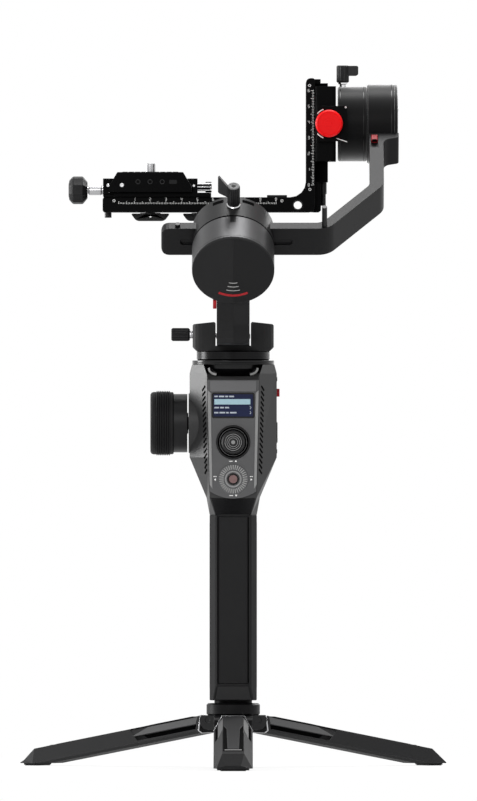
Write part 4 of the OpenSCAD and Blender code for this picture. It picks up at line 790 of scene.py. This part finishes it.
def tilt_motor_trim():
    """Seams, end rings and screw heads of the tilt motor, with a dark ring of painted shade in the gap at the
    start of its can.
    """
    place = axes(AHEAD, RIGHT, (0, 0, joint_at("tilt_turn").z))
    can_r = size("tilt_can").z / 2
    can_start = low("tilt_can").x
    can_end = high("tilt_can").x
    rotor_r = size("tilt_rotor").z / 2
    rotor = moved(place, z=low("tilt_rotor").x)
    cap = moved(place, z=high("tilt_cap").x)
    piece("tilt_cap_rings", "roll arm", "rotor_metal",
          *[hoop(inner, outer, -0.2, 0.15, cap) for inner, outer in ((17.4, 18.1), (8.6, 9.2))])
    piece("tilt_cap_screws", "roll arm", "steel", *screw_circle(1.5, 0.4, 13.2, cap))
    piece("tilt_seam", "roll arm", "gloss_black",
          hoop(can_r - 0.6, can_r + 0.08, can_end - 2.2, can_end - 1.7, place))
    # Dark ring of painted shade filling the gap between the rotor and the can
    piece("tilt_gap_shade", "roll arm", "rubber",
          hoop(can_r - 6, can_r - 0.5, can_start - 0.4, can_start + 0.3, place))
    piece("tilt_rotor_lines", "tilt head", "gloss_black",
          *[hoop(rotor_r - 0.5, rotor_r + 0.07, start, start + 0.35, rotor) for start in (1.4, 16.2)])


def tilt_lock_foot():
    """Dark lower half of the red tilt lock, painted shade of the slot it sits in."""
    middle = centre("tilt_lock")
    # Black sheet painting the slot's shade over the lower half of the lock
    grip = prism(plaque(3.2, 2.2, 0.4), -0.2, 0.12, on_rear("tilt_lock", middle.x, middle.z - 1.2))
    piece("tilt_lock_painted_shade", "tilt lock", "gap_black", grip, bevel=0.05)


# Roll axis

ROLL_U = Vector(joints["roll_turn"]["axis"])
ROLL_V = RIGHT.cross(ROLL_U)
ROLL_AT = joint_at("roll_turn")
ROLL = axes(RIGHT, ROLL_U, ROLL_AT)
CAN_R = size("roll_can").x / 2
CAN_END = 24.0
CLAMP_R = size("roll_clamp").x / 2


def roll_cap_design():
    """Two-tone rear disc with a plain red arc and short pale arcs at its foot."""
    half_disc = [polar(25.0, angle) for angle in spread(-90, 90, 40)]
    piece("roll_cap_half", "pan arm", "cap_dark", prism(half_disc, -0.12, 0.3, ROLL), bevel=0.06)
    piece("roll_cap_red_arc", "pan arm", "red_dull", arc_plate(18.6, 20.2, 62, 118, -0.2, 0.3, ROLL))
    piece("roll_cap_pale_arcs", "pan arm", "mark_grey",
          *[arc_plate(r, r + 0.45, 74, 106, -0.19, 0.3, ROLL) for r in (9.4, 12.4, 15.4)])


def roll_can_seam():
    """Short dark patch painted where the lever darkens the top of the can, a turned line round it, and the
    seal at its end with a dark ring of painted shade in the gap.
    """
    # The dark patch on top and the dark ring in the gap at the can's end are painted shade
    piece("roll_can_shade_patch", "pan arm", "black_steel", band(CAN_R, -94, -86, 17.0, 22.8, 0.06, ROLL))
    for name, look_name, sunk, rise, start, end in (
            ("roll_seal", "rubber", 5, -0.5, CAN_END - 0.4, CAN_END + 0.38),
            ("roll_can_lines", "black_steel", 0.4, 0.06, 3.2, 3.55),
            ("roll_gap_shade", "gap_black", 0.4, 0.08, CAN_END - 1.1, CAN_END)):
        piece(name, "pan arm", look_name, hoop(CAN_R - sunk, CAN_R + rise, start, end, ROLL))


def roll_clamp_slots():
    """Dark split lines on the clamp, either side of its lever."""
    piece("roll_clamp_slots", "roll head", "gap_black",
          *[band(CLAMP_R, first, last, 38.4, 41.2, 0.08, ROLL) for first, last in ((-120, -104), (-77, -59))])


def roll_front():
    """Turned rings, centre cap and screws on the front face of the roll clamp."""
    off_axis = 20
    face = on_face("roll_clamp", ROLL_AT + OUTSIDE * ROLL_U + off_axis * RIGHT, -ROLL_U)
    place = moved(ROLL, z=(face.translation - ROLL.translation).dot(ROLL_U))
    cap = lathe([(0, -0.3), (9.2, -0.3), (9.2, 0.1), (8.6, 0.5), (0, 0.6)], place)
    line = hoop(22.0, 22.5, -0.3, 0.12, place)
    piece("roll_front_rings", "roll head", "black_steel", line, cap, bevel=0.08)
    piece("roll_front_screws", "roll head", "steel", *screw_circle(1.5, 0.35, 15, place))


def roll_lever():
    """Knurled hub with a bright washer, a pale top ring and a flat wing."""
    at = joint_at("roll_lever_turn")
    along = (at - ROLL_AT).dot(ROLL_U)
    foot = CLAMP_R + 0.5
    place = axes(RIGHT, ROLL_V, ROLL_AT + along * ROLL_U + at.x * RIGHT + foot * ROLL_V)
    upright = place @ Matrix.Rotation(math.pi / 2, 4, "X")
    top = 14.7
    hub = lathe([(0, 0.9), (3.9, 0.9), (4.05, 1.2), (4.05, top - 0.5), (3.7, top), (0, top)], place,
                teeth=22, tooth=0.3, tooth_from=3.8)
    piece("roll_lever_hub", "roll lever", "knob_plastic", hub, bevel=0.06, stands_for="roll_lever")
    piece("roll_lever_washer", "roll lever", "polished",
          ring([(2.0, 0), (4.3, 0), (4.3, 0.5), (3.9, 0.9), (2.0, 0.9)], place))
    top_ring = [(1.5, -0.3), (3.7, -0.3), (3.7, 0.2), (3.3, 0.4), (2.5, 0.4), (2.3, 0.15), (1.5, 0.15)]
    piece("roll_lever_ring", "roll lever", "wing_grey", ring(top_ring, moved(place, z=top)))
    piece("roll_lever_socket", "roll lever", "rubber",
          lathe([(0, top - 0.8), (1.4, top - 0.8), (1.4, top + 0.1), (0, top + 0.1)], place, 6))
    blade = [(-3.4, 6.4), (-5.2, 7.6), (-9.5, 10.2), (-9.9, 11.2), (-9.9, 21.4), (-9.4, 22.2), (-8.7, 22.0),
             (-4.2, 15.4), (-3.4, top - 0.1)]
    piece("roll_lever_wing", "roll lever", "wing_dark", prism(blade, -1.5, 1.5, upright), bevel=0.4)
    piece("roll_lever_edge", "roll lever", "wing_grey",
          stroke((-9.0, 21.95), (-4.0, 15.0), 0.5, -1.2, 1.2, upright), bevel=0.1)


# Pan axis

def pan_knob():
    """Knurled clamp knob on a threaded stem."""
    place = along_x("pan_knob")
    length = size("pan_knob").x
    grip = lathe([(0, 0), (3.4, 0), (4.25, 0.8), (4.25, 10.9), (3.5, 11.8), (0, 11.8)], place,
                 teeth=18, tooth=0.45, tooth_from=3.45)
    piece("pan_knob_grip", "pan knob", "knob_plastic", grip, bevel=0.1, stands_for="pan_knob")
    stem = [(0, 11.5)]
    for k in range(6):
        stem += [(1.9, 11.6 + k), (2.7, 11.9 + k), (2.7, 12.3 + k)]
    stem += [(1.9, 17.6), (1.9, length), (0, length)]
    piece("pan_knob_stem", "pan knob", "polished", lathe(stem, place, 40))


def pan_pad():
    """Thin rubber pad on the clamp's floor, under the bar of the pan arm."""
    clamp_floor = 3.4
    floor_z = high("pan_rotor").z + clamp_floor
    bar_z = low("pan_arm").z
    half_wide = 10.6
    half_deep = size("pan_clamp").y / 2 - 1
    piece("pan_pad", "pan head", "rubber",
          slab(-half_wide, -half_deep, half_wide, half_deep, floor_z - 0.2, bar_z - 0.06, level(0)))


def pan_arm_shaded_half():
    """Darker panel of painted shade down one half of the pan arm's rear face and round its bend."""
    bend_r = 14
    back_y = -104.09
    foot_z = low("pan_arm").z
    top_z = foot_z + 25.4
    bend = Vector((back_y + bend_r, foot_z + bend_r))
    angles = spread(180, 260, 12)
    outer = [bend + polar(bend_r + 0.1, angle) for angle in angles]
    inner = [bend + polar(bend_r - 0.3, angle) for angle in reversed(angles)]
    outline = [(back_y + 0.3, top_z), (back_y - 0.1, top_z)] + outer + inner
    # Painted shade: the half turned away from the light is made darker
    piece("pan_arm_shaded_half", "pan arm", "cap_dark", prism(outline, 0, 9.3, right_side(0.1)), bevel=0.06)


def pan_rotor():
    """Rotor rim with fine turned grooves over a dark ring of painted shade in the gap beneath it."""
    bottom = low("pan_base").z + 10.4
    top = high("pan_rotor").z
    r = size("pan_rotor").x / 2
    flange_z = high("pan_base").z
    # Dark ring of painted shade filling the gap between the flange and the rotor
    piece("pan_gap_shade", "pan head", "gap_black",
          hoop(20, r - 0.6, flange_z + 0.06, bottom + 0.2, level(0), FINE_STEPS))
    lands = 5
    pitch = (top - bottom - 0.8) / lands
    profile = [(0, bottom), (r - 0.5, bottom), (r, bottom + 0.4)]
    for k in range(lands):
        z = bottom + 0.4 + k * pitch
        profile += [(r, z + pitch * 0.68), (r - 0.3, z + pitch * 0.76), (r - 0.3, z + pitch * 0.92),
                    (r, z + pitch)]
    profile += [(r - 0.4, top), (0, top)]
    piece("pan_rotor_rim", "pan head", "rotor_metal", lathe(profile, level(0), FINE_STEPS),
          stands_for="pan_rotor")


def pan_base_trim():
    """Dark line round the motor's flange and two pale strips at the foot of its bowl, painted highlights
    where the bowl's lower edge turns.
    """
    top = high("pan_base").z
    r = size("pan_base").x / 2
    piece("pan_base_line", "stand", "motor_black",
          hoop(r - 0.4, r + 0.06, top - 1.9, top - 1.2, level(0), FINE_STEPS))
    curve = [(15.6, -17.8, 254.0), (15.3, -17.4, 252.4), (14.2, -16.4, 251.1), (12.6, -15.6, 250.3),
             (10.8, -15.2, 249.9)]
    # The pale strips are painted highlights on the bowl's turning edge
    for side_name, side in SIDES:
        piece("bowl_painted_highlight_" + side_name, "stand", "mark_white",
              rod([(side * x, y, z) for x, y, z in curve], 0.75, level(0)), sharp=60)


# Control box

FACE_Y = low("control_fascia").y
FACE = rear(FACE_Y)


def fascia_trim():
    """Pale side rails, the leaning brow above the display and the display's frame."""
    foot_z = low("control_fascia").z
    top_z = high("control_fascia").z
    rail = [(14.3, top_z - 8.0), (16.2, top_z - 6.5), (14.9, foot_z + 9), (13.2, foot_z + 6)]
    for side_name, side in SIDES:
        piece("fascia_rail_" + side_name, "stand", "rail_grey", prism(sided(rail, side), -0.2, 0.35, FACE),
              bevel=0.2)
    brow = [(0.3, -7.2), (0.3, -0.4), (-0.05, -0.4), (-0.9, -7.2)]
    piece("fascia_brow", "stand", "brow_grey",
          prism(brow, -14.6, 14.6, moved(right_side(0), FACE_Y, top_z)), bevel=0.25)
    middle = centre("display_window")
    piece("display_frame", "stand", "gloss_black",
          window_ring(plaque(27.2, 16.2, 1.2), plaque(25.2, 14.2, 0.7), -0.15, 0.18,
                      moved(FACE, middle.x, middle.z)))


def display_rows():
    """Plain bars on the display, one of them picked out."""
    glass = moved(rear(low("display_window").y), 0, centre("display_window").z)
    start_x = -12.0
    rise = 0.05
    piece("display_chosen", "stand", "row_blue", slab(start_x, 0.6, 10.9, 4.0, PAINT_FOOT, rise, glass))
    shapes = []
    for z, words in ((5.7, (2.2, 3.4, 1.8, 3.0)), (-1.4, (3.0, 2.4, 2.6)), (-4.6, (2.6, 3.6, 1.6, 4.2))):
        x = start_x
        for word in words:
            shapes.append(slab(x, z - 0.45, x + word, z + 0.45, PAINT_FOOT, rise, glass))
            x += word + 0.7
    for z in (-1.4, -4.6):
        for tail in (0.9, -0.9):
            shapes.append(stroke((10.6, z + tail), (11.4, z), 0.35, PAINT_FOOT, rise, glass))
    piece("display_words", "stand", "row_pale", *shapes)


def stick_top():
    """Thumb stick with ringed top, and the rubber gaiter round its neck."""
    pivot_y = centre("stick_yoke").y
    middle = centre("stick_well")
    place = moved(rear(pivot_y), middle.x, middle.z)
    tip = pivot_y - low("stick_cap").y
    under = tip - 4.4
    dome_r = 7
    dome_drop = 0.55
    ring_rises = {r: tip - dome_drop * (r / dome_r) ** 2 for r in (6.4, 5.2, 4.0, 2.8)}
    profile = [(0, -2.0), (2.2, -1.6), (3.0, 0), (3.0, under), (7.0, under), (7.6, under + 0.7),
               (7.65, under + 2.1), (7.2, under + 3.1)]
    for r, rise in ring_rises.items():
        profile += [(r + 0.45, rise - 0.35), (r + 0.25, rise), (r - 0.25, rise), (r - 0.45, rise - 0.35)]
    profile += [(1.7, tip - 0.1), (0, tip - 0.05)]
    piece("stick_top", "stick", "stick_rubber", lathe(profile, place), sharp=40, stands_for="stick_cap")
    rings = [hoop(r - 0.16, r + 0.16, ring_rises[r] - 0.2, ring_rises[r] + 0.06, place)
             for r in (5.2, 4.0, 2.8)]
    dot = lathe([(0, tip - 0.3), (1.3, tip - 0.3), (1.2, tip), (0, tip + 0.05)], place, 32)
    piece("stick_rings", "stick", "rail_grey", *rings, dot, sharp=50)
    neck = moved(place, z=pivot_y - low("stick_well").y - 0.6)
    gaiter = [(9.75, -1.6), (8.95, -1.2), (8.75, -0.7), (8.4, -0.7), (8.2, -1.3), (6.0, -1.9), (4.6, -1.9),
              (4.6, -2.6), (9.75, -2.6)]
    piece("stick_gaiter", "stand", "gap_black", ring(gaiter, neck), sharp=45)
    gaiter_ring = [(8.35, -0.75), (8.8, -0.75), (8.72, -0.5), (8.43, -0.5)]
    piece("stick_gaiter_ring", "stand", "fascia_grey", ring(gaiter_ring, neck), sharp=60)


def dial():
    """Dial ring with radial ticks, a pale inner ring and small plain marks round it."""
    middle = centre("dial_ring")
    depth = FACE_Y - low("dial_ring").y
    place = moved(FACE, middle.x, middle.z)
    disc = [(3.7, -2.0), (8.9, -2.0), (8.9, 0.08), (9.75, 0.08), (9.7, 0.3), (9.3, depth - 0.25),
            (5.8, depth - 0.25), (5.6, depth - 0.5), (3.7, depth - 0.5)]
    piece("dial_disc", "dial", "fascia_grey", ring(disc, place), stands_for="dial_ring")
    piece("dial_ticks", "dial", "mark_grey",
          *[stroke(polar(6.2, angle), polar(9.0, angle), 0.5, depth - 0.35, depth - 0.05, place)
            for angle in range(0, 360, 10)])
    inner_ring = [(4.2, depth - 0.6), (4.35, depth - 0.1), (5.3, depth - 0.1), (5.45, depth - 0.6)]
    piece("dial_inner_ring", "dial", "rail_grey", ring(inner_ring, place), sharp=50)
    button_rise = FACE_Y - low("record_button").y
    piece("button_rim", "record button", "gloss_black", hoop(2.6, 3.25, -0.3, button_rise + 0.05, place))
    arrow = [(0.8, 0), (-0.5, 0.75), (-0.5, -0.75)]
    marks = []
    for x, z, turn in ((1.7, 11.4, 90), (-11.5, -0.3, 180), (11.5, -0.3, 0), (1.9, -10.4, 270)):
        turned = moved(place, x, z) @ Matrix.Rotation(math.radians(turn), 4, "Z")
        marks.append(prism(arrow, PAINT_FOOT, PAINT_RISE, turned))
    for x, z, width in ((-2.6, 11.1, 2.3), (-2.4, -10.7, 2.3), (-12.5, 1.4, 0.8), (-11.4, 1.4, 0.8),
                        (10.6, 1.4, 0.8), (11.7, 1.4, 0.8)):
        marks.append(paint(x, z, x + width, z + 0.5, place))
    piece("dial_marks", "stand", "mark_white", *marks)


def box_vents():
    """Rows of slanted slots along the rear bevels of the box."""
    first_x = 17.3
    lean = 0.09
    first_z = 188.3
    pitch = 3.3
    for side_name, side in SIDES:
        slots = []
        for k in range(17):
            place = on_rear("control_box", side * (first_x + lean * k), first_z + pitch * k)
            slots.append(stroke((side * 1.6, -1.5), (side * -1.6, 1.5), 1.2, -0.5, 0.14, place))
        piece("vents_" + side_name, "stand", "gap_black", *slots)


def throat():
    """Black gloss sheet of painted shade on the slope between the fascia and the handle, under the
    overhanging box.
    """
    foot_z = low("control_box").z
    shell_y = low("handle_shell").y
    slope = Vector((0, low("control_box").y - shell_y, low("control_fascia").z + 0.4 - foot_z))
    place = axes(RIGHT, RIGHT.cross(slope), (0, shell_y, foot_z))
    top = slope.length - 0.6
    # The black sheet paints the shade under the box's overhang
    shade_sheet = prism([(-11.2, 0.5), (11.2, 0.5), (14.0, top), (-14.0, top)], -0.2, 0.3, place)
    piece("throat_painted_shade", "stand", "gloss_black", shade_sheet, bevel=0.15)


def box_sides():
    """Socket cover with a finger notch on the box's right side, and screws on the box and the pan arm."""
    place = on_side("control_box", 1, 1, 213)
    piece("socket_cover", "stand", "rubber", prism(plaque(17, 13, 2), -0.3, 0.5, place), bevel=0.3)
    piece("socket_seam", "stand", "gap_black",
          window_ring(plaque(18.2, 14.2, 2.6), plaque(17.3, 13.3, 2.15), -0.3, 0.08, place),
          prism(plaque(6, 1.4, 0.6), 0.3, 0.56, moved(place, 0, -4.6)))
    side_screws = [screw_head(1.4, 0.35, on_side("control_box", 1, y, z))
                   for y, z in ((-6, 247), (10, 247), (11, 201))]
    front_screws = [screw_head(1.3, 0.35, on_front("control_box", x, 249)) for x in (-12, 12)]
    piece("box_screws", "stand", "black_steel", *side_screws, *front_screws)
    piece("pan_arm_screws", "pan arm", "black_steel",
          *[screw_head(1.5, 0.4, on_side("pan_arm", side, y, 274)) for _, side in SIDES for y in (-60, -84)])


# Handle

def grip_details():
    """Seams down the handle's sides, a ribbed pad on its front and ribs on the trigger."""
    foot = low("handle_shell").z + 8
    top = high("handle_shell").z - 5
    middle = (foot + top) / 2
    half = (top - foot) / 2
    piece("handle_seams", "stand", "gap_black",
          *[slab(-0.25, -half, 0.25, half, -0.3, 0.06, on_side("handle_shell", side, 0, middle))
            for _, side in SIDES])
    face = on_front("handle_shell", 0, middle)
    pad = prism(plaque(13.6, top - foot - 12, 4), -0.3, 0.5, face)
    ribs = [stroke((-5.2, y), (5.2, y), 1.4, 0.3, 1.0, face) for y in range(-40, 41, 4)]
    piece("grip_pad", "stand", "rubber", pad, *ribs, bevel=0.2)
    piece("trigger_ribs", "trigger", "rubber",
          *[stroke((-6.8, 0), (6.8, 0), 1.1, -0.3, 0.45, on_front("trigger", 0, z))
            for z in spread(217.5, 233.5, 5)], bevel=0.15)


def handle_strips():
    """Bevelled strips beside the battery pack and a bevelled lip below it, widening downwards."""
    shell_y = low("handle_shell").y
    foot = low("battery_case").z - 2.2
    top = high("battery_case").z + 1.0
    inner = high("battery_case").x + 0.35
    strip = [(inner, 0.3), (inner, -0.75), (inner + 0.35, -0.85), (11.4, 0.02), (11.4, 0.3)]
    for side_name, side in SIDES:
        piece("handle_strip_" + side_name, "stand", "handle_plastic",
              prism(sided(strip, side), foot, top, moved(level(0), 0, shell_y)), bevel=0.12)
    widening = 0.022
    lip = [(0.3, 0), (0.3, -8.2), (0.05, -8.2), (-1.0, -0.6), (-0.9, 0)]
    points, faces = prism(lip, -9.4, 9.4, moved(right_side(0), shell_y, foot))
    for point in points:
        point.x *= 1 + widening * (foot - point.z)
    piece("handle_lip", "stand", "jaw_plastic", (points, faces), bevel=0.15)


# Tripod

LEG_SLOPE = math.radians(10.2)
LEG_RISE = 4.3
RIDGE_START = 14
FACET_START = 10.2


def outward(leg):
    """Level direction in which a leg points."""
    at = joint_at(leg + "_leg_fold")
    return Vector((at.x, at.y, 0)).normalized()


def foot_pad(leg):
    """Rubber foot with a ribbed sole, nearly as wide as the leg."""
    foot = "foot_" + leg
    out = outward(leg)
    place = axes(out, UP, out * centre(foot).dot(out))
    pad = prism(plaque(10, 20.4, 2), 0.5, high(foot).z, place)
    ribs = [slab(x - 0.6, -8, x + 0.6, 8, 0.0, 0.7, place) for x in (-4, -2, 0, 2, 4)]
    piece(leg + "_foot_pad", leg + " leg", "rubber", pad, *ribs, bevel=0.12, stands_for=foot)


def leg_trim(leg):
    """Channel and T-shaped inlay on a leg's ridge, a painted highlight line at the inlay's end and a bright
    band, painted light on the upper facets over painted shade in the grooves.
    """
    body = leg + " leg"
    name = leg + "_leg_"
    at = joint_at(leg + "_leg_fold")
    out = outward(leg)
    along = math.cos(LEG_SLOPE) * out - math.sin(LEG_SLOPE) * UP
    square = math.sin(LEG_SLOPE) * out + math.cos(LEG_SLOPE) * UP
    ridge = axes(along, square, at + LEG_RISE * square)
    section = axes(square.cross(along), along, at)
    piece(name + "channel", body, "gap_black", slab(RIDGE_START, -6.4, 123.5, 6.4, -0.2, 0.1, ridge))
    inlay = [(RIDGE_START, -6.2), (41, -6.2), (52, -4.2), (118, -3.6), (118, 3.6), (52, 4.2), (41, 6.2),
             (RIDGE_START, 6.2)]
    piece(name + "inlay", body, "wing_dark", prism(inlay, 0, 0.45, ridge), bevel=0.15)
    # Painted highlight line at the end of the inlay
    piece(name + "line", body, "mark_grey", slab(120.2, -5.4, 121.4, 5.4, 0, 0.4, ridge))
    root = [(-7.1, LEG_RISE + 0.15), (-12.65, -5.5), (-9.1, -7.15), (9.1, -7.15), (12.65, -5.5),
            (7.1, LEG_RISE + 0.15)]
    piece(name + "root_band", body, "steel", prism(root, 6.9, 7.8, section), bevel=0.1)
    # Lighter plates painting the light on the upper facets
    facet = [(6.3, 3.3), (6.6, 3.6), (9.75, -0.65), (9.45, -0.95)]
    facet_ends = (47, 47, 58, 58)
    piece(name + "facets", body, "facet_grey",
          *[slanted(sided(facet, side), FACET_START, facet_ends, section) for _, side in SIDES], bevel=0.08)
    # Black liners painting the shade in the side grooves
    groove = [(8.2, -1.3), (8.5, -1.3), (8.5, -4.0), (11.2, -4.0), (11.2, -4.3), (8.2, -4.3)]
    groove_ends = (50, 50, 47, 47, 46, 46)
    piece(name + "grooves", body, "gap_black",
          *[slanted(sided(groove, side), FACET_START, groove_ends, section) for _, side in SIDES])


bracket_marks()
level_stop()
bracket_trim()
slide_gap_shades()
quick_release_screws()
plate_marks()
for leg in ("front", "left", "right"):
    foot_pad(leg)
    leg_trim(leg)
handle_strips()
grip_details()
box_sides()
pan_arm_shaded_half()
plate_pads()
safety_pin_wires()
focus_grip()
jaw_knob()
tilt_lever()
pull_knob_trim()
lock_plate_trim()
tilt_motor_trim()
tilt_lock_foot()
roll_cap_design()
roll_can_seam()
roll_clamp_slots()
roll_front()
roll_lever()
pan_knob()
pan_pad()
pan_rotor()
pan_base_trim()
fascia_trim()
display_rows()
stick_top()
dial()
box_vents()
throat()

# Camera: the photograph in pixels, distances in millimetres, the end of the view in metres

PHOTO_WIDTH = 477
PHOTO_HEIGHT = 801
MM_PER_PIXEL = 0.635
FLOOR_ROW = 768
PAN_COLUMN = 233.2
CAMERA_DISTANCE = 14000
SCALE_PLANE = 30
SENSOR_WIDTH = 36.0
VIEW_END = 60

camera_data = bpy.data.cameras.new("camera")
camera = bpy.data.objects.new("camera", camera_data)
scene.collection.objects.link(camera)
scene.camera = camera
camera.location = Vector((
    (PHOTO_WIDTH / 2 - PAN_COLUMN) * MM_PER_PIXEL, PAN_Y - CAMERA_DISTANCE,
    (FLOOR_ROW - PHOTO_HEIGHT / 2) * MM_PER_PIXEL)) * MM
camera.rotation_euler = (math.pi / 2, 0, 0)
camera_data.sensor_width = SENSOR_WIDTH
camera_data.sensor_fit = "AUTO"
camera_data.lens = SENSOR_WIDTH * (CAMERA_DISTANCE - SCALE_PLANE) / (PHOTO_HEIGHT * MM_PER_PIXEL)
camera_data.clip_end = VIEW_END

# Light: a background that shows white but lights at a lower strength, and soft lamps

AMBIENT = 0.5
world = bpy.data.worlds.new("studio")
scene.world = world
world.use_nodes = True
sky = world.node_tree
sky_rays = node(sky, "LightPath").outputs
seen = node(sky, "Math", sky_rays["Is Camera Ray"], sky_rays["Is Glossy Ray"], operation="MAXIMUM")
clear = node(sky, "Math", seen, sky_rays["Is Transmission Ray"], operation="MAXIMUM")
strength = node(sky, "MapRange", clear, To_Min=AMBIENT, To_Max=1.0)
fill(sky, sky.nodes["Background"], Color=(1, 1, 1, 1), Strength=strength)


def softbox(name, place, target, width, height, power):
    """Large soft lamp, with its place and size in metres and its power in watts."""
    data = bpy.data.lights.new(name, "AREA")
    data.shape = "RECTANGLE"
    data.size = width
    data.size_y = height
    data.energy = power
    lamp = bpy.data.objects.new(name, data)
    lamp.location = place
    lamp.rotation_euler = (Vector(target) - Vector(place)).to_track_quat("-Z", "Y").to_euler()
    scene.collection.objects.link(lamp)


softbox("left_box", (-1.7, 0.6, 0.45), (0, 0, 0.24), 0.6, 1.3, 34)
softbox("top_box", (0.12, 0.35, 2.0), (0, 0, 0.3), 1.2, 0.7, 30)
softbox("right_box", (1.2, 1.5, 1.0), (0, 0, 0.3), 0.7, 0.7, 14)
softbox("rear_fill", (-0.8, -2.8, 1.3), (0, 0, 0.25), 1.6, 1.2, 26)


# Floor: its half width, the reach of its shadow and where it is white, in metres

FLOOR_HALF = 4
SHADOW_REACH = 0.16
WHITE_REACH = 0.45
SHADOW_GLOW = 0.85


def floor_finish():
    """Pale paint that keeps its shadow near the object and runs out into the white background further off."""
    material = bpy.data.materials.new("floor_paint")
    material.use_nodes = True
    tree = material.node_tree
    shader = tree.nodes["Principled BSDF"]
    fill(tree, shader, Base_Color=(0.9, 0.9, 0.9, 1), Roughness=0.8, Specular_IOR_Level=0.1)
    glow = node(tree, "Emission")
    rays = node(tree, "LightPath").outputs
    shown = node(tree, "Math", rays["Is Camera Ray"], rays["Is Glossy Ray"], operation="MAXIMUM")
    place = node(tree, "TexCoord").outputs["Object"]
    reach = node(tree, "VectorMath", place, operation="LENGTH").outputs["Value"]
    fade = node(tree, "MapRange", reach, From_Min=SHADOW_REACH, From_Max=WHITE_REACH, To_Min=SHADOW_GLOW,
                To_Max=1.0)
    share = node(tree, "Math", shown, fade, operation="MULTIPLY")
    mix = node(tree, "MixShader", share, shader, glow)
    fill(tree, tree.nodes["Material Output"], Surface=mix)
    return material


floor_mesh = bpy.data.meshes.new("floor")
corners = [(x * FLOOR_HALF, y * FLOOR_HALF, 0) for x, y in ((-1, -1), (1, -1), (1, 1), (-1, 1))]
floor_mesh.from_pydata(corners, [], [(0, 1, 2, 3)])
floor_mesh.materials.append(floor_finish())
floor = bpy.data.objects.new("floor", floor_mesh)
scene.collection.objects.link(floor)

scene.view_settings.view_transform = "Standard"
